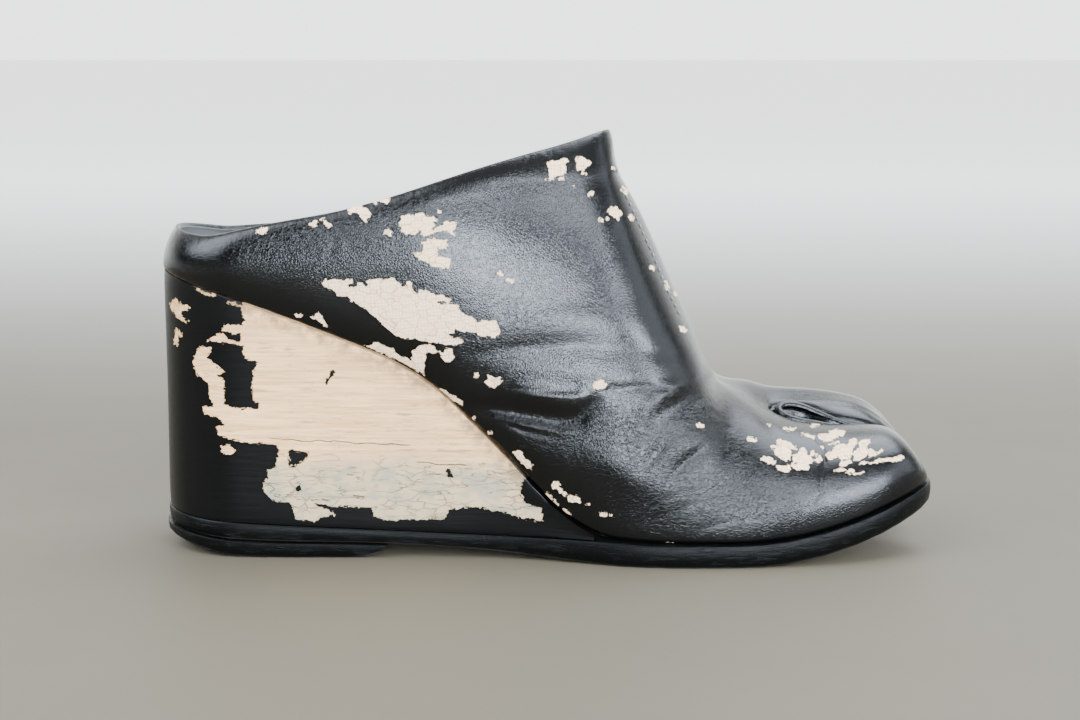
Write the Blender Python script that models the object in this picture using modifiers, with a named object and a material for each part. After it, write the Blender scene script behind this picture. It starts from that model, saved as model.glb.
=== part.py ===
"""Split-toe wedge mule for the right foot: a hollow leather upper, cut low at the heel and high
at the instep, on a tall covered wedge with a leather outsole and a rubber heel lift.

Everything is drawn in the last's frame, in millimetres: x runs forward from the back of the heel,
+y is the big toe side, z is the height above the floor. The feather line is where the upper's
lower edge meets what it stands on. Widths are measured outwards from the heel-to-toe axis on each
side, so a lateral width of 30 lies at y = -30 and a medial width of 30 at y = +30.
"""

import math

import bmesh
import bpy
import numpy as np

MM = 0.001

# Driving dimensions
HEEL_BACK_X = 0.6
HEEL_TURN_X = 25.0
TOE_TIP_X = 235.0
WEDGE_TIP_X = 132.0
LIFT_FRONT_X = 70.0
BALL_SEAT_X = 140.0
LEATHER_WALL = 1.8
SEAT_GAP = 0.3
INSOLE_THICKNESS = 2.5

# The cleft between the big toe and the other toes
CLEFT_END_X = 188.4
CLEFT_Y = 2.5
CLEFT_HALF_GAP = 2.2
CLEFT_ROLL = {"lateral": (2.6, 3.4), "medial": (2.6, 7.5)}  # at the cleft's end, along the toe
ROLL_GROWS_X = (189.0, 204.0)
SOLE_FORK_X = 189.2
INSOLE_FORK_X = 185.6

# How far each piece's outline stands outside the upper's feather line
WEDGE_GROW = -0.2
LIFT_GROW = 0.6
SOLE_GROW = [(0.0, 0.0), (100.0, 0.0), (128.0, 1.0), (145.0, 1.7), (215.0, 1.7), (236.0, 1.0)]
INSOLE_GROW = [(0.0, -2.4), (190.0, -2.4), (215.0, -3.4), (236.0, -6.0)]

# Fineness of the upper's grid
ROWS_PER_SECTION = 2
TOP_COLUMNS = 14
ROLL_COLUMNS = 4
WALL_COLUMNS = 3
RELAX = [(20, 40, 14), (36, 56, 2)]  # first row, end row, passes
LOBE_ANGLES = [9, 18, 27, 36, 45, 54, 62, 70, 77, 83]

# Each side of the foot: which way is out, the toe's tip, and where the toe's inner corner starts
SIDES = {
    "lateral": {"out": -1, "tip": 8.5, "corner_x": 222.0, "rim_nose_x": 219.0},
    "medial": {"out": 1, "tip": 14.0, "corner_x": 218.0, "rim_nose_x": 206.0},
}

# Outline at the feather line from the end of the heel's round back to the ball: x, width
EDGE = {
    "lateral": [
        (25, 26.5), (45, 27.0), (70, 27.0), (92, 27.8), (110, 30.0), (125, 33.2), (140, 37.0), (152, 38.7),
        (160, 39.1), (162, 39.1),
    ],
    "medial": [
        (25, 26.0), (45, 25.4), (70, 22.6), (92, 20.8), (110, 22.2), (125, 25.4), (140, 29.6), (158, 34.9),
        (170, 36.9), (173, 36.9),
    ],
}

# Height of the feather line: x, z
FEATHER = [
    (0, 85.9), (10, 82.9), (25, 78.3), (40, 72.9), (57, 66.3), (73, 59.5), (85, 51.9), (95, 42.5),
    (104, 33.5), (111, 26.1), (118, 18.9), (126, 12.4), (133, 8.9), (140, 7.4), (150, 7.0), (176, 7.0),
    (190, 8.0), (205, 11.0), (218, 14.9), (228, 18.4), (237, 21.5),
]

# Underside of the outsole, and its top where the wedge stands on it: x, z
SOLE_BOTTOM = [
    (0, 7.6), (6, 7.0), (14, 6.3), (26, 5.2), (38, 4.8), (60, 4.5), (80, 3.7), (100, 2.5), (120, 1.1),
    (134, 0.3), (143, 0.0), (178, 0.0), (190, 0.8), (205, 3.8), (218, 7.8), (228, 11.6), (237, 14.9),
]
SOLE_TOP_UNDER_WEDGE = [(0, 12.4), (14, 11.2), (33, 10.1), (60, 8.9), (89, 7.7), (115, 7.1)]

# Underside of the heel lift, rolled up at the worn back and rounded at the front: x, z
LIFT_BOTTOM = [
    (0, 4.6), (6, 3.7), (14, 2.2), (26, 0.25), (32, 0.0), (58, 0.0), (63, 0.3), (67, 1.3), (70, 2.9),
]

# Edge profiles from bottom to top: share of the thickness, extra outward growth
SOLE_EDGE = [(0.0, -1.1), (0.14, -0.2), (0.5, 0.15), (0.88, 0.05), (1.0, -0.3)]
LIFT_EDGE = [(0.0, -1.0), (0.25, -0.1), (1.0, 0.0)]
INSOLE_EDGE = [(0.0, 0.0), (1.0, -0.4)]
WEDGE_EDGE = [(0.0, 0.0), (0.03, 0.25), (0.25, 0.1), (0.5, 0.0), (0.75, 0.1), (0.97, 0.2), (1.0, 0.0)]

# Height of the rolled rim along each side of the cleft, up to the nose of the toe: x, z
RIM = {
    "lateral": [(188.4, 41.3), (190.5, 39.0), (194, 37.2), (202, 36.5), (219, 36.5)],
    "medial": [(188.4, 41.3), (190.5, 41.6), (195, 42.1), (206, 42.1)],
}

# Sections of the upper, a row each, from the back of the heel to the cleft's end. Each runs from the
# feather line at feather_x up to its top: the collar as far as the instep's corner, then the front seam.
# medial_drop is how much lower the collar lies on the big toe side, top_half half the opening's
# width and top_y its middle, full the section's squareness (1 a straight line, 2 an ellipse), bulge its
# outward swell, crown its upward swell over the big toe's joint.
SECTION_COLUMNS = (
    "feather_x", "top_x", "top_z", "medial_drop", "top_half", "top_y", "lateral_full", "medial_full",
    "lateral_bulge", "medial_bulge", "crown",
)
SECTIONS = [
    (0.6, 5.0, 98.6, 0.0, 0.0, 0.0, 2.0, 2.0, 0.0, 0.0, 0.0),
    (2.1, 6.4, 98.3, 0.0, 8.0, 0.0, 2.0, 2.0, 0.2, 0.2, 0.0),
    (6.3, 10.6, 97.3, 0.0, 15.1, 0.0, 2.0, 2.0, 0.6, 0.6, 0.0),
    (12.8, 17.0, 96.7, 0.6, 20.35, -0.05, 2.0, 2.0, 1.2, 1.2, 0.0),
    (22.0, 26.0, 98.5, 2.0, 23.2, -0.2, 2.0, 2.0, 2.0, 1.6, 0.0),
    (35.0, 38.5, 101.3, 3.8, 24.2, -0.2, 1.8, 1.8, 2.2, 1.8, 0.0),
    (52.0, 54.5, 104.1, 4.4, 24.4, -0.4, 1.7, 1.7, 2.6, 2.0, 0.0),
    (70.0, 71.0, 108.4, 4.4, 24.0, -0.6, 1.6, 1.6, 3.2, 2.4, 0.0),
    (86.0, 86.0, 113.3, 4.2, 22.6, -0.6, 1.55, 1.55, 3.8, 3.0, 0.0),
    (100.0, 99.0, 117.4, 3.8, 20.1, -0.5, 1.5, 1.5, 4.0, 3.0, 0.0),
    (113.0, 110.5, 120.7, 3.2, 16.7, -0.3, 1.5, 1.5, 3.4, 2.5, 0.0),
    (125.0, 121.0, 123.4, 2.4, 13.1, -0.1, 1.5, 1.5, 2.6, 2.0, 0.0),
    (136.0, 129.2, 125.8, 1.5, 9.9, -0.1, 1.5, 1.5, 2.0, 1.5, 0.0),
    (144.0, 134.8, 127.5, 0.6, 6.35, -0.05, 1.5, 1.5, 1.5, 1.2, 0.0),
    (150.0, 138.0, 127.9, 0.0, 0.0, 0.0, 1.5, 1.5, 1.2, 1.0, 0.0),
    (153.5, 138.5, 118.3, 0.0, 0.0, 0.1, 1.5, 1.5, 1.0, 1.0, 0.0),
    (157.0, 143.8, 108.5, 0.0, 0.0, 0.2, 1.5, 1.5, 1.0, 1.0, 0.0),
    (160.5, 149.6, 97.3, 0.0, 0.0, 0.4, 1.5, 1.5, 1.0, 1.0, 0.0),
    (164.0, 154.2, 86.3, 0.0, 0.0, 0.6, 1.5, 1.5, 1.0, 1.0, 0.0),
    (167.5, 159.2, 75.3, 0.0, 0.0, 0.9, 1.5, 1.6, 1.0, 1.0, 0.0),
    (171.0, 163.6, 66.1, 0.0, 0.0, 1.2, 1.55, 1.7, 1.0, 1.0, 0.0),
    (174.5, 168.0, 54.6, 0.0, 0.0, 1.6, 1.65, 1.9, 1.0, 1.0, 0.0),
    (178.0, 172.2, 49.3, 0.0, 0.0, 1.9, 1.8, 2.1, 1.0, 1.0, 1.2),
    (182.0, 178.6, 46.3, 0.0, 0.0, 2.2, 1.95, 2.3, 1.0, 1.0, 4.2),
    (186.5, 183.0, 42.9, 0.0, 0.0, 2.4, 2.1, 2.5, 1.0, 1.0, 6.2),
    (190.5, 185.8, 41.3, 0.0, 0.0, 2.5, 2.15, 2.6, 1.0, 1.0, 6.2),
]

# Squareness and bulge of the toe lobes at the cleft's end and at the tip, and crown at the cleft's end
LOBE_FULL = {"lateral": (2.15, 2.6), "medial": (2.6, 2.7)}
LOBE_BULGE = (1.0, 0.2)
LOBE_CROWN = {"lateral": 0.0, "medial": 6.2}

# Colours of the finishes: red, green, blue, then roughness
FINISHES = {
    "upper": ((0.012, 0.013, 0.015), 0.38),
    "wedge": ((0.016, 0.017, 0.018), 0.5),
    "outsole": ((0.02, 0.02, 0.021), 0.5),
    "heel_lift": ((0.022, 0.023, 0.024), 0.6),
    "insole": ((0.03, 0.03, 0.031), 0.6),
}


def smooth(knots, x):
    """Height of a smooth curve through the knots at x, with no overshoot between them."""
    xs, ys = (np.array(column, float) for column in zip(*knots))
    steps = np.diff(xs)
    slopes = np.diff(ys) / steps
    tangents = np.zeros(len(xs))
    tangents[0], tangents[-1] = slopes[0], slopes[-1]
    for i in range(1, len(xs) - 1):
        if slopes[i - 1] * slopes[i] > 0:
            before, after = 2 * steps[i] + steps[i - 1], steps[i] + 2 * steps[i - 1]
            tangents[i] = (before + after) / (before / slopes[i - 1] + after / slopes[i])
    x = min(max(x, xs[0]), xs[-1])
    i = min(int(np.searchsorted(xs, x, side="right")) - 1, len(xs) - 2)
    t = (x - xs[i]) / steps[i]
    return (
        ys[i] * (1 + 2 * t) * (1 - t) ** 2
        + ys[i + 1] * t * t * (3 - 2 * t)
        + steps[i] * (tangents[i] * t * (1 - t) ** 2 + tangents[i + 1] * t * t * (t - 1))
    )


def ellipse(share):
    """Height of a quarter ellipse at a share of its length, 1 at its start and 0 at its end."""
    return math.sqrt(max(0.0, 1 - share * share))


def edge(side, x, grow=0.0):
    """Width of the foot's outer edge at x, with the outline grown outwards."""
    if x < HEEL_TURN_X:
        back = HEEL_TURN_X - HEEL_BACK_X + grow
        return (EDGE[side][0][1] + grow) * ellipse((HEEL_TURN_X - x) / back)
    ball_x, ball = EDGE[side][-1]
    if x <= ball_x:
        return smooth(EDGE[side], x) + grow
    tip = SIDES[side]["tip"]
    return tip + (ball + grow - tip) * ellipse((x - ball_x) / (TOE_TIP_X + grow - ball_x))


def cleft_edge(side, x, grow=0.0):
    """Width of the toe lobe's inner edge at x: the cleft's wall, then the lobe's round corner."""
    tip, corner_x = SIDES[side]["tip"], SIDES[side]["corner_x"]
    wall = SIDES[side]["out"] * CLEFT_Y + CLEFT_HALF_GAP - grow
    if x <= corner_x:
        return wall
    return tip + (wall - tip) * ellipse((x - corner_x) / (TOE_TIP_X + grow - corner_x))


def mix(ends, share):
    """A value part of the way from one end to the other."""
    return ends[0] + (ends[1] - ends[0]) * share


def feather_z(x):
    return smooth(FEATHER, x)


def seat_z(x, gap=SEAT_GAP):
    """Surface that carries the upper, a gap below the feather line measured square to its slope."""
    slope = feather_z(x + 0.5) - feather_z(x - 0.5)
    return feather_z(x) - gap * math.hypot(1, slope)


def sole_top_z(x):
    if x >= BALL_SEAT_X:
        return seat_z(x)
    return smooth(SOLE_TOP_UNDER_WEDGE + [(BALL_SEAT_X, seat_z(BALL_SEAT_X))], x)


def sole_bottom_z(x):
    return smooth(SOLE_BOTTOM, x)


def rim_z(side, x):
    """Height of the rolled rim beside the cleft, falling as a quarter ellipse over the toe's nose."""
    nose_x = SIDES[side]["rim_nose_x"]
    if x <= nose_x:
        return smooth(RIM[side], x)
    share = ellipse((x - nose_x) / (TOE_TIP_X - nose_x))
    return feather_z(TOE_TIP_X) + (RIM[side][-1][1] - feather_z(TOE_TIP_X)) * share


def outward(curve, x):
    """Unit normal in plan, pointing away from the foot's axis, of a width curve at x."""
    rise = (curve(x + 0.05) - curve(x - 0.05)) / 0.1
    return np.array((-rise, 1.0)) / math.hypot(rise, 1)


def evenly(points, count):
    """The points of a polyline resampled at equal steps along it."""
    points = np.array(points, float)
    along = np.concatenate(([0.0], np.cumsum(np.linalg.norm(np.diff(points, axis=0), axis=1))))
    steps = np.linspace(0, along[-1], count + 1)
    return [np.array([np.interp(s, along, points[:, k]) for k in range(3)]) for s in steps]


def section_curve(foot, top, out, full, bulge, crown):
    """Section of the upper's outside from the feather line to its top. Points are x, width, z."""
    foot, top = np.array(foot, float), np.array(top, float)
    curve = []
    for turn in np.linspace(0, math.pi / 2, 61):
        rise = math.sin(turn) ** (2 / full)
        lean = 1 - math.cos(turn) ** (2 / full)
        share = 2 * turn / math.pi
        swell = bulge * math.sin(math.pi * share**0.7)
        point = foot + (top - foot) * np.array((1 - (1 - lean) ** 1.7, lean, rise))
        point += np.array((out[0] * swell, out[1] * swell, crown * math.sin(math.pi * share**1.8)))
        curve.append(point)
    return evenly(curve, TOP_COLUMNS)


def section_rows(side):
    """The upper's sections on one side, from the back of the heel to the cleft's end."""
    rows = []
    count = (len(SECTIONS) - 1) * ROWS_PER_SECTION
    for step in range(count + 1):
        at = step / ROWS_PER_SECTION
        value = {
            name: smooth(list(enumerate(column)), at)
            for name, column in zip(SECTION_COLUMNS, zip(*SECTIONS))
        }
        x = value["feather_x"]
        out = np.array((-1.0, 0.0)) if step == 0 else outward(lambda v: edge(side, v), x)
        medial = side == "medial"
        top_z = value["top_z"] - (value["medial_drop"] if medial else 0.0)
        rows.append(
            section_curve(
                (x, edge(side, x), feather_z(x)),
                (value["top_x"], value["top_half"] + SIDES[side]["out"] * value["top_y"], top_z),
                out,
                value[side + "_full"],
                value[side + "_bulge"],
                value["crown"] if medial else 0.0,
            )
        )
    return rows


def cleft_path(side):
    """Plan of the cleft's wall on one side, from the cleft's end to the toe: x, width, then its normal
    into the leather, and the feather x of the section that ends there."""
    centre = SIDES[side]["out"] * CLEFT_Y
    wall_x = CLEFT_END_X + CLEFT_HALF_GAP
    foot_x = SECTIONS[-1][0]
    path = []
    for degrees in (0, 45):
        turn = math.radians(degrees)
        x = wall_x - CLEFT_HALF_GAP * math.cos(turn)
        normal = (-math.cos(turn), math.sin(turn))
        path.append((x, centre + CLEFT_HALF_GAP * math.sin(turn), normal, foot_x + 2.4 * degrees / 45))
    for degrees in [0, *LOBE_ANGLES]:
        share = math.sin(math.radians(degrees))
        x = wall_x + (TOE_TIP_X - wall_x) * share
        start = foot_x + 4.8
        normal = outward(lambda v: cleft_edge(side, v), x)
        path.append((x, cleft_edge(side, x), normal, start + (TOE_TIP_X - start) * share))
    return path


def lobe_rows(side):
    """Rows over one toe lobe. Each has the section from feather line to rim, then the roll of the rim
    and the cleft's wall down to the feather line again."""
    rows = []
    path = cleft_path(side)
    for i, (x, width, normal, foot_x) in enumerate(path):
        share = i / (len(path) - 1)
        top_z, low_z = rim_z(side, x), feather_z(x)
        grown = min(max((x - ROLL_GROWS_X[0]) / (ROLL_GROWS_X[1] - ROLL_GROWS_X[0]), 0.0), 1.0)
        roll = min(mix(CLEFT_ROLL[side], grown * grown * (3 - 2 * grown)), 0.45 * (top_z - low_z))
        rim = np.array((x + normal[0] * roll, width + normal[1] * roll, top_z))
        section = section_curve(
            (foot_x, edge(side, foot_x), feather_z(foot_x)),
            rim,
            outward(lambda v: edge(side, v), foot_x),
            mix(LOBE_FULL[side], share),
            mix(LOBE_BULGE, share),
            LOBE_CROWN[side] * (1 - share) ** 1.5,
        )
        wall = []
        for turn in np.linspace(0, math.pi / 2, ROLL_COLUMNS + 1):
            into = roll * (1 - math.sin(turn))
            wall.append((x + normal[0] * into, width + normal[1] * into, top_z - roll * (1 - math.cos(turn))))
        wall += evenly((wall[-1], (x, width, low_z)), WALL_COLUMNS)[1:]
        rows.append((section, wall))
    return rows


def relaxed(rows):
    """Rows with the points between foot and top eased towards the rows either side."""
    rows = np.array(rows)
    for first, end, passes in RELAX:
        for _ in range(passes):
            eased = (rows[:-2] + 2 * rows[1:-1] + rows[2:]) / 4
            rows[first:end, 1:-1] = eased[first - 1 : end - 1, 1:-1]
    return rows


def new_object(name, mesh_maker):
    """A mesh object filled by a function that draws into a bmesh, in millimetres."""
    mesh = bpy.data.meshes.new(name)
    shape = bmesh.new()
    mesh_maker(shape)
    bmesh.ops.scale(shape, vec=(MM, MM, MM), verts=shape.verts)
    shape.to_mesh(mesh)
    shape.free()
    obj = bpy.data.objects.new(name, mesh)
    collection.objects.link(obj)
    obj.parent = shoe
    colour, roughness = FINISHES[name]
    material = bpy.data.materials.new(name)
    material.use_nodes = True
    shader = material.node_tree.nodes["Principled BSDF"]
    shader.inputs["Base Color"].default_value = (*colour, 1)
    shader.inputs["Roughness"].default_value = roughness
    mesh.materials.append(material)
    mesh.shade_smooth()
    mesh.set_sharp_from_angle(angle=math.radians(35))
    return obj


def add_points(shape, side, points):
    """Vertices for points given as x, width, z on one side."""
    out = SIDES[side]["out"]
    return [shape.verts.new((x, out * width, z)) for x, width, z in points]


def add_strip(shape, first, second, flip):
    """Quads between two rows of vertices."""
    for a, b, c, d in zip(first, first[1:], second[1:], second):
        shape.faces.new((a, b, c, d) if flip else (d, c, b, a))


def draw_upper(shape):
    """The upper's outside as one open sheet: two sides that meet at the back and along the front seam,
    and the two toe lobes with the cleft's wall between them."""
    for side in SIDES:
        flip = side == "lateral"
        lobe = lobe_rows(side)
        outside = relaxed(section_rows(side) + [section for section, _ in lobe[1:]])
        tops = [add_points(shape, side, row) for row in outside]
        walls = [add_points(shape, side, wall) for _, wall in lobe]
        for rows in (tops, walls):
            for first, second in zip(rows, rows[1:]):
                add_strip(shape, first, second, flip)
        tip = tops[-1] + walls[-1][1:]
        shape.faces.new(tip if not flip else tip[::-1])
    bmesh.ops.remove_doubles(shape, verts=shape.verts, dist=0.01)
    bmesh.ops.recalc_face_normals(shape, faces=shape.faces)


def make_upper():
    upper = new_object("upper", draw_upper)
    wall = upper.modifiers.new("leather wall", "SOLIDIFY")
    wall.thickness = LEATHER_WALL * MM
    wall.offset = -1
    wall.use_even_offset = True
    wall.use_quality_normals = True
    return upper


def add_loft(shape, rings, close_start, close_end):
    """Quads round a row of rings of vertices, with a face on each end that is closed."""
    for first, second in zip(rings, rings[1:]):
        count = len(first)
        for i in range(count):
            j = (i + 1) % count
            shape.faces.new((first[i], first[j], second[j], second[i]))
    if close_start:
        shape.faces.new(rings[0][::-1])
    if close_end:
        shape.faces.new(rings[-1])


def heel_station(degrees):
    """A place round the heel's back. Like the other stations, it gives its x for a grown outline."""
    return lambda grow: HEEL_TURN_X - (HEEL_TURN_X - HEEL_BACK_X + grow) * math.cos(math.radians(degrees))


def toe_station(fork_x, degrees):
    return lambda grow: fork_x + (TOE_TIP_X + grow - fork_x) * math.sin(math.radians(degrees))


def plain_stations(places):
    return [lambda grow, x=x: x for x in places]


def heel_stations():
    return [heel_station(degrees) for degrees in (7, 20, 33, 46, 59, 72, 85)]


def edge_column(side, station, grow, profile, bottom, top, width_at=edge):
    """Points up one edge of a flat piece, from bottom to top."""
    column = []
    for share, extra in profile:
        x = station(grow + extra)
        column.append((x, width_at(side, x, grow + extra), bottom(x) + (top(x) - bottom(x)) * share))
    return column


def draw_plain(shape, stations, grow, profile, bottom, top):
    """A piece with one outline, such as the wedge: rings across the foot from back to front."""
    rings = []
    for station in stations:
        lateral = edge_column("lateral", station, grow, profile, bottom, top)
        medial = edge_column("medial", station, grow, profile, bottom, top)
        rings.append(add_points(shape, "lateral", lateral) + add_points(shape, "medial", medial[::-1]))
    add_loft(shape, rings, True, True)
    bmesh.ops.recalc_face_normals(shape, faces=shape.faces)


def draw_forked(shape, fork_x, grow, profile, bottom, top):
    """A sole that forks at the cleft: one body, then a lobe for each side of the toes."""
    fork_grow = smooth(grow, fork_x)
    share = {side: cleft_edge(side, fork_x, fork_grow) / edge(side, fork_x, fork_grow) for side in SIDES}

    def column(side, station, width_at=edge):
        return edge_column(side, station, smooth(grow, station(0.0)), profile, bottom, top, width_at)

    def slit(side, station):
        points = column(side, station, cleft_edge)
        return add_points(shape, side, (points[-1], points[0]))

    def across(side, station):
        points = column(side, station)
        ends = [(x, width * share[side], z) for x, width, z in (points[-1], points[0])]
        return add_points(shape, side, ends)

    body, starts = [], {}
    for station in heel_stations() + plain_stations(np.linspace(HEEL_TURN_X + 3, fork_x, 24)):
        lateral, medial = (add_points(shape, side, column(side, station)) for side in SIDES)
        left, right = (across(side, station) for side in SIDES)
        body.append(lateral + [left[0], right[0]] + medial[::-1] + [right[1], left[1]])
        starts = {"lateral": lateral + left, "medial": medial + right}
    add_loft(shape, body, True, False)
    (left_top, left_low), (right_top, right_low) = (starts[side][-2:] for side in SIDES)
    shape.faces.new((left_low, right_low, right_top, left_top))
    for side in SIDES:
        rings = [starts[side]]
        for degrees in (14, 27, 39, 50, 60, 69, 77, 83, 87):
            station = toe_station(fork_x, degrees)
            rings.append(add_points(shape, side, column(side, station)) + slit(side, station))
        add_loft(shape, rings, False, True)
    bmesh.ops.recalc_face_normals(shape, faces=shape.faces)


def make_wedge():
    stations = heel_stations() + plain_stations(np.linspace(HEEL_TURN_X + 3, WEDGE_TIP_X, 24))
    return new_object(
        "wedge",
        lambda shape: draw_plain(
            shape, stations, WEDGE_GROW, WEDGE_EDGE, lambda x: sole_top_z(x) + SEAT_GAP, seat_z
        ),
    )


def make_outsole():
    return new_object(
        "outsole",
        lambda shape: draw_forked(shape, SOLE_FORK_X, SOLE_GROW, SOLE_EDGE, sole_bottom_z, sole_top_z),
    )


def make_heel_lift():
    front = plain_stations((32, 40, 48, 58, 61, 63.5, 66, 68, LIFT_FRONT_X))
    return new_object(
        "heel_lift",
        lambda shape: draw_plain(
            shape,
            heel_stations() + front,
            LIFT_GROW,
            LIFT_EDGE,
            lambda x: smooth(LIFT_BOTTOM, x),
            lambda x: sole_bottom_z(x) - SEAT_GAP,
        ),
    )


def make_insole():
    return new_object(
        "insole",
        lambda shape: draw_forked(
            shape,
            INSOLE_FORK_X,
            INSOLE_GROW,
            INSOLE_EDGE,
            feather_z,
            lambda x: seat_z(x, -INSOLE_THICKNESS),
        ),
    )


def centre_on_floor():
    """Moves the whole shoe so that the middle of its box stands at the origin, on the floor."""
    pieces = [obj for obj in collection.objects if obj.type == "MESH"]
    corners = np.array([vertex.co for obj in pieces for vertex in obj.data.vertices])
    low, high = corners.min(axis=0), corners.max(axis=0)
    shoe.location = (-(low[0] + high[0]) / 2, -(low[1] + high[1]) / 2, -low[2])
    bpy.context.view_layer.update()


for old in list(bpy.data.objects):
    bpy.data.objects.remove(old)
collection = bpy.data.collections.new("split_toe_wedge_mule")
bpy.context.scene.collection.children.link(collection)
shoe = bpy.data.objects.new("shoe", None)
collection.objects.link(shoe)

make_upper()
make_wedge()
make_outsole()
make_heel_lift()
make_insole()
centre_on_floor()
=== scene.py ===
# %% [markdown]
# A split-toe mule on a tall wedge, worn until its black coat has flaked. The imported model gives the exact
# solids. This lesson dresses them: each solid is copied, refined and shaped, and gets a finish of its
# own. The wear is the heart of it. Every chip lies where the photograph shows it, because its outline was
# read off the photograph and is thrown back onto the leather along the same line of sight.

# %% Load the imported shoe
import math

import bmesh
import bpy
import numpy as np
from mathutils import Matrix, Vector
from mathutils.bvhtree import BVHTree
from mathutils.kdtree import KDTree


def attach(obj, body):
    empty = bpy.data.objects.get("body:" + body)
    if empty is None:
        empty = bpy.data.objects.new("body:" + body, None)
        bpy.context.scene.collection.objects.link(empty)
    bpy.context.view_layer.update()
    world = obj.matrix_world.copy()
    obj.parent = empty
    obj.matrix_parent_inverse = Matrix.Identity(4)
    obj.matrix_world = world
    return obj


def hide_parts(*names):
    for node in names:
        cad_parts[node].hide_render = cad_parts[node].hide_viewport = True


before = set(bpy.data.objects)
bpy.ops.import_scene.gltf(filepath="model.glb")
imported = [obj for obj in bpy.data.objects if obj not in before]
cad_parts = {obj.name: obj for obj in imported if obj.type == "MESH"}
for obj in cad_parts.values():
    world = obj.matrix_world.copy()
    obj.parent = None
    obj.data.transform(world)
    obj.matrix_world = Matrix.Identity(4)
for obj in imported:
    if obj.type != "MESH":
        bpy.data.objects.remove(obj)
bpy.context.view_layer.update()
print("solids:", sorted(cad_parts))

# %% [markdown]
# The camera stands where the photographer stood: low, beside the small toe, looking a little down. The
# same numbers tell where any point of the shoe falls in the photograph, so one function can carry an
# outline from the photograph to the shoe.

# %% Camera
MM = 0.001
IMAGE_WIDTH, IMAGE_HEIGHT = 1080, 720
SENSOR_WIDTH = 36
FOCAL_PIXELS = 2000
LOOK_DOWN = math.atan(310 / 2000)
EYE = np.array((-2.155, -610.893, 150.85)) * MM

bpy.ops.object.select_all(action="DESELECT")
bpy.ops.object.camera_add(location=EYE, rotation=(math.pi / 2 - LOOK_DOWN, 0, 0))
camera = bpy.context.object
camera.data.sensor_fit = "HORIZONTAL"
camera.data.sensor_width = SENSOR_WIDTH
camera.data.lens = SENSOR_WIDTH * FOCAL_PIXELS / IMAGE_WIDTH
bpy.context.scene.camera = camera


def photo_place(points):
    """Where points of the shoe, in metres, fall in the photograph, in its pixels."""
    away = points - EYE
    depth = away[:, 1] * math.cos(LOOK_DOWN) - away[:, 2] * math.sin(LOOK_DOWN)
    rise = away[:, 1] * math.sin(LOOK_DOWN) + away[:, 2] * math.cos(LOOK_DOWN)
    right = IMAGE_WIDTH / 2 + FOCAL_PIXELS * away[:, 0] / depth
    down = IMAGE_HEIGHT / 2 - FOCAL_PIXELS * rise / depth
    return np.stack((right, down), axis=1)


def sight_line(right, down):
    """Direction in which the camera sees a pixel of the photograph."""
    across, up = (right - IMAGE_WIDTH / 2) / FOCAL_PIXELS, (IMAGE_HEIGHT / 2 - down) / FOCAL_PIXELS
    forward = math.cos(LOOK_DOWN) + up * math.sin(LOOK_DOWN)
    return Vector((across, forward, up * math.cos(LOOK_DOWN) - math.sin(LOOK_DOWN))).normalized()


print("camera at", EYE.round(3), "lens", round(camera.data.lens, 1))

# %% [markdown]
# Shader maths is easier to read as arithmetic than as a web of nodes. This small class holds one output
# of a node; adding or multiplying two of them places a Math node. Any other node is placed by `node`.


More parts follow.
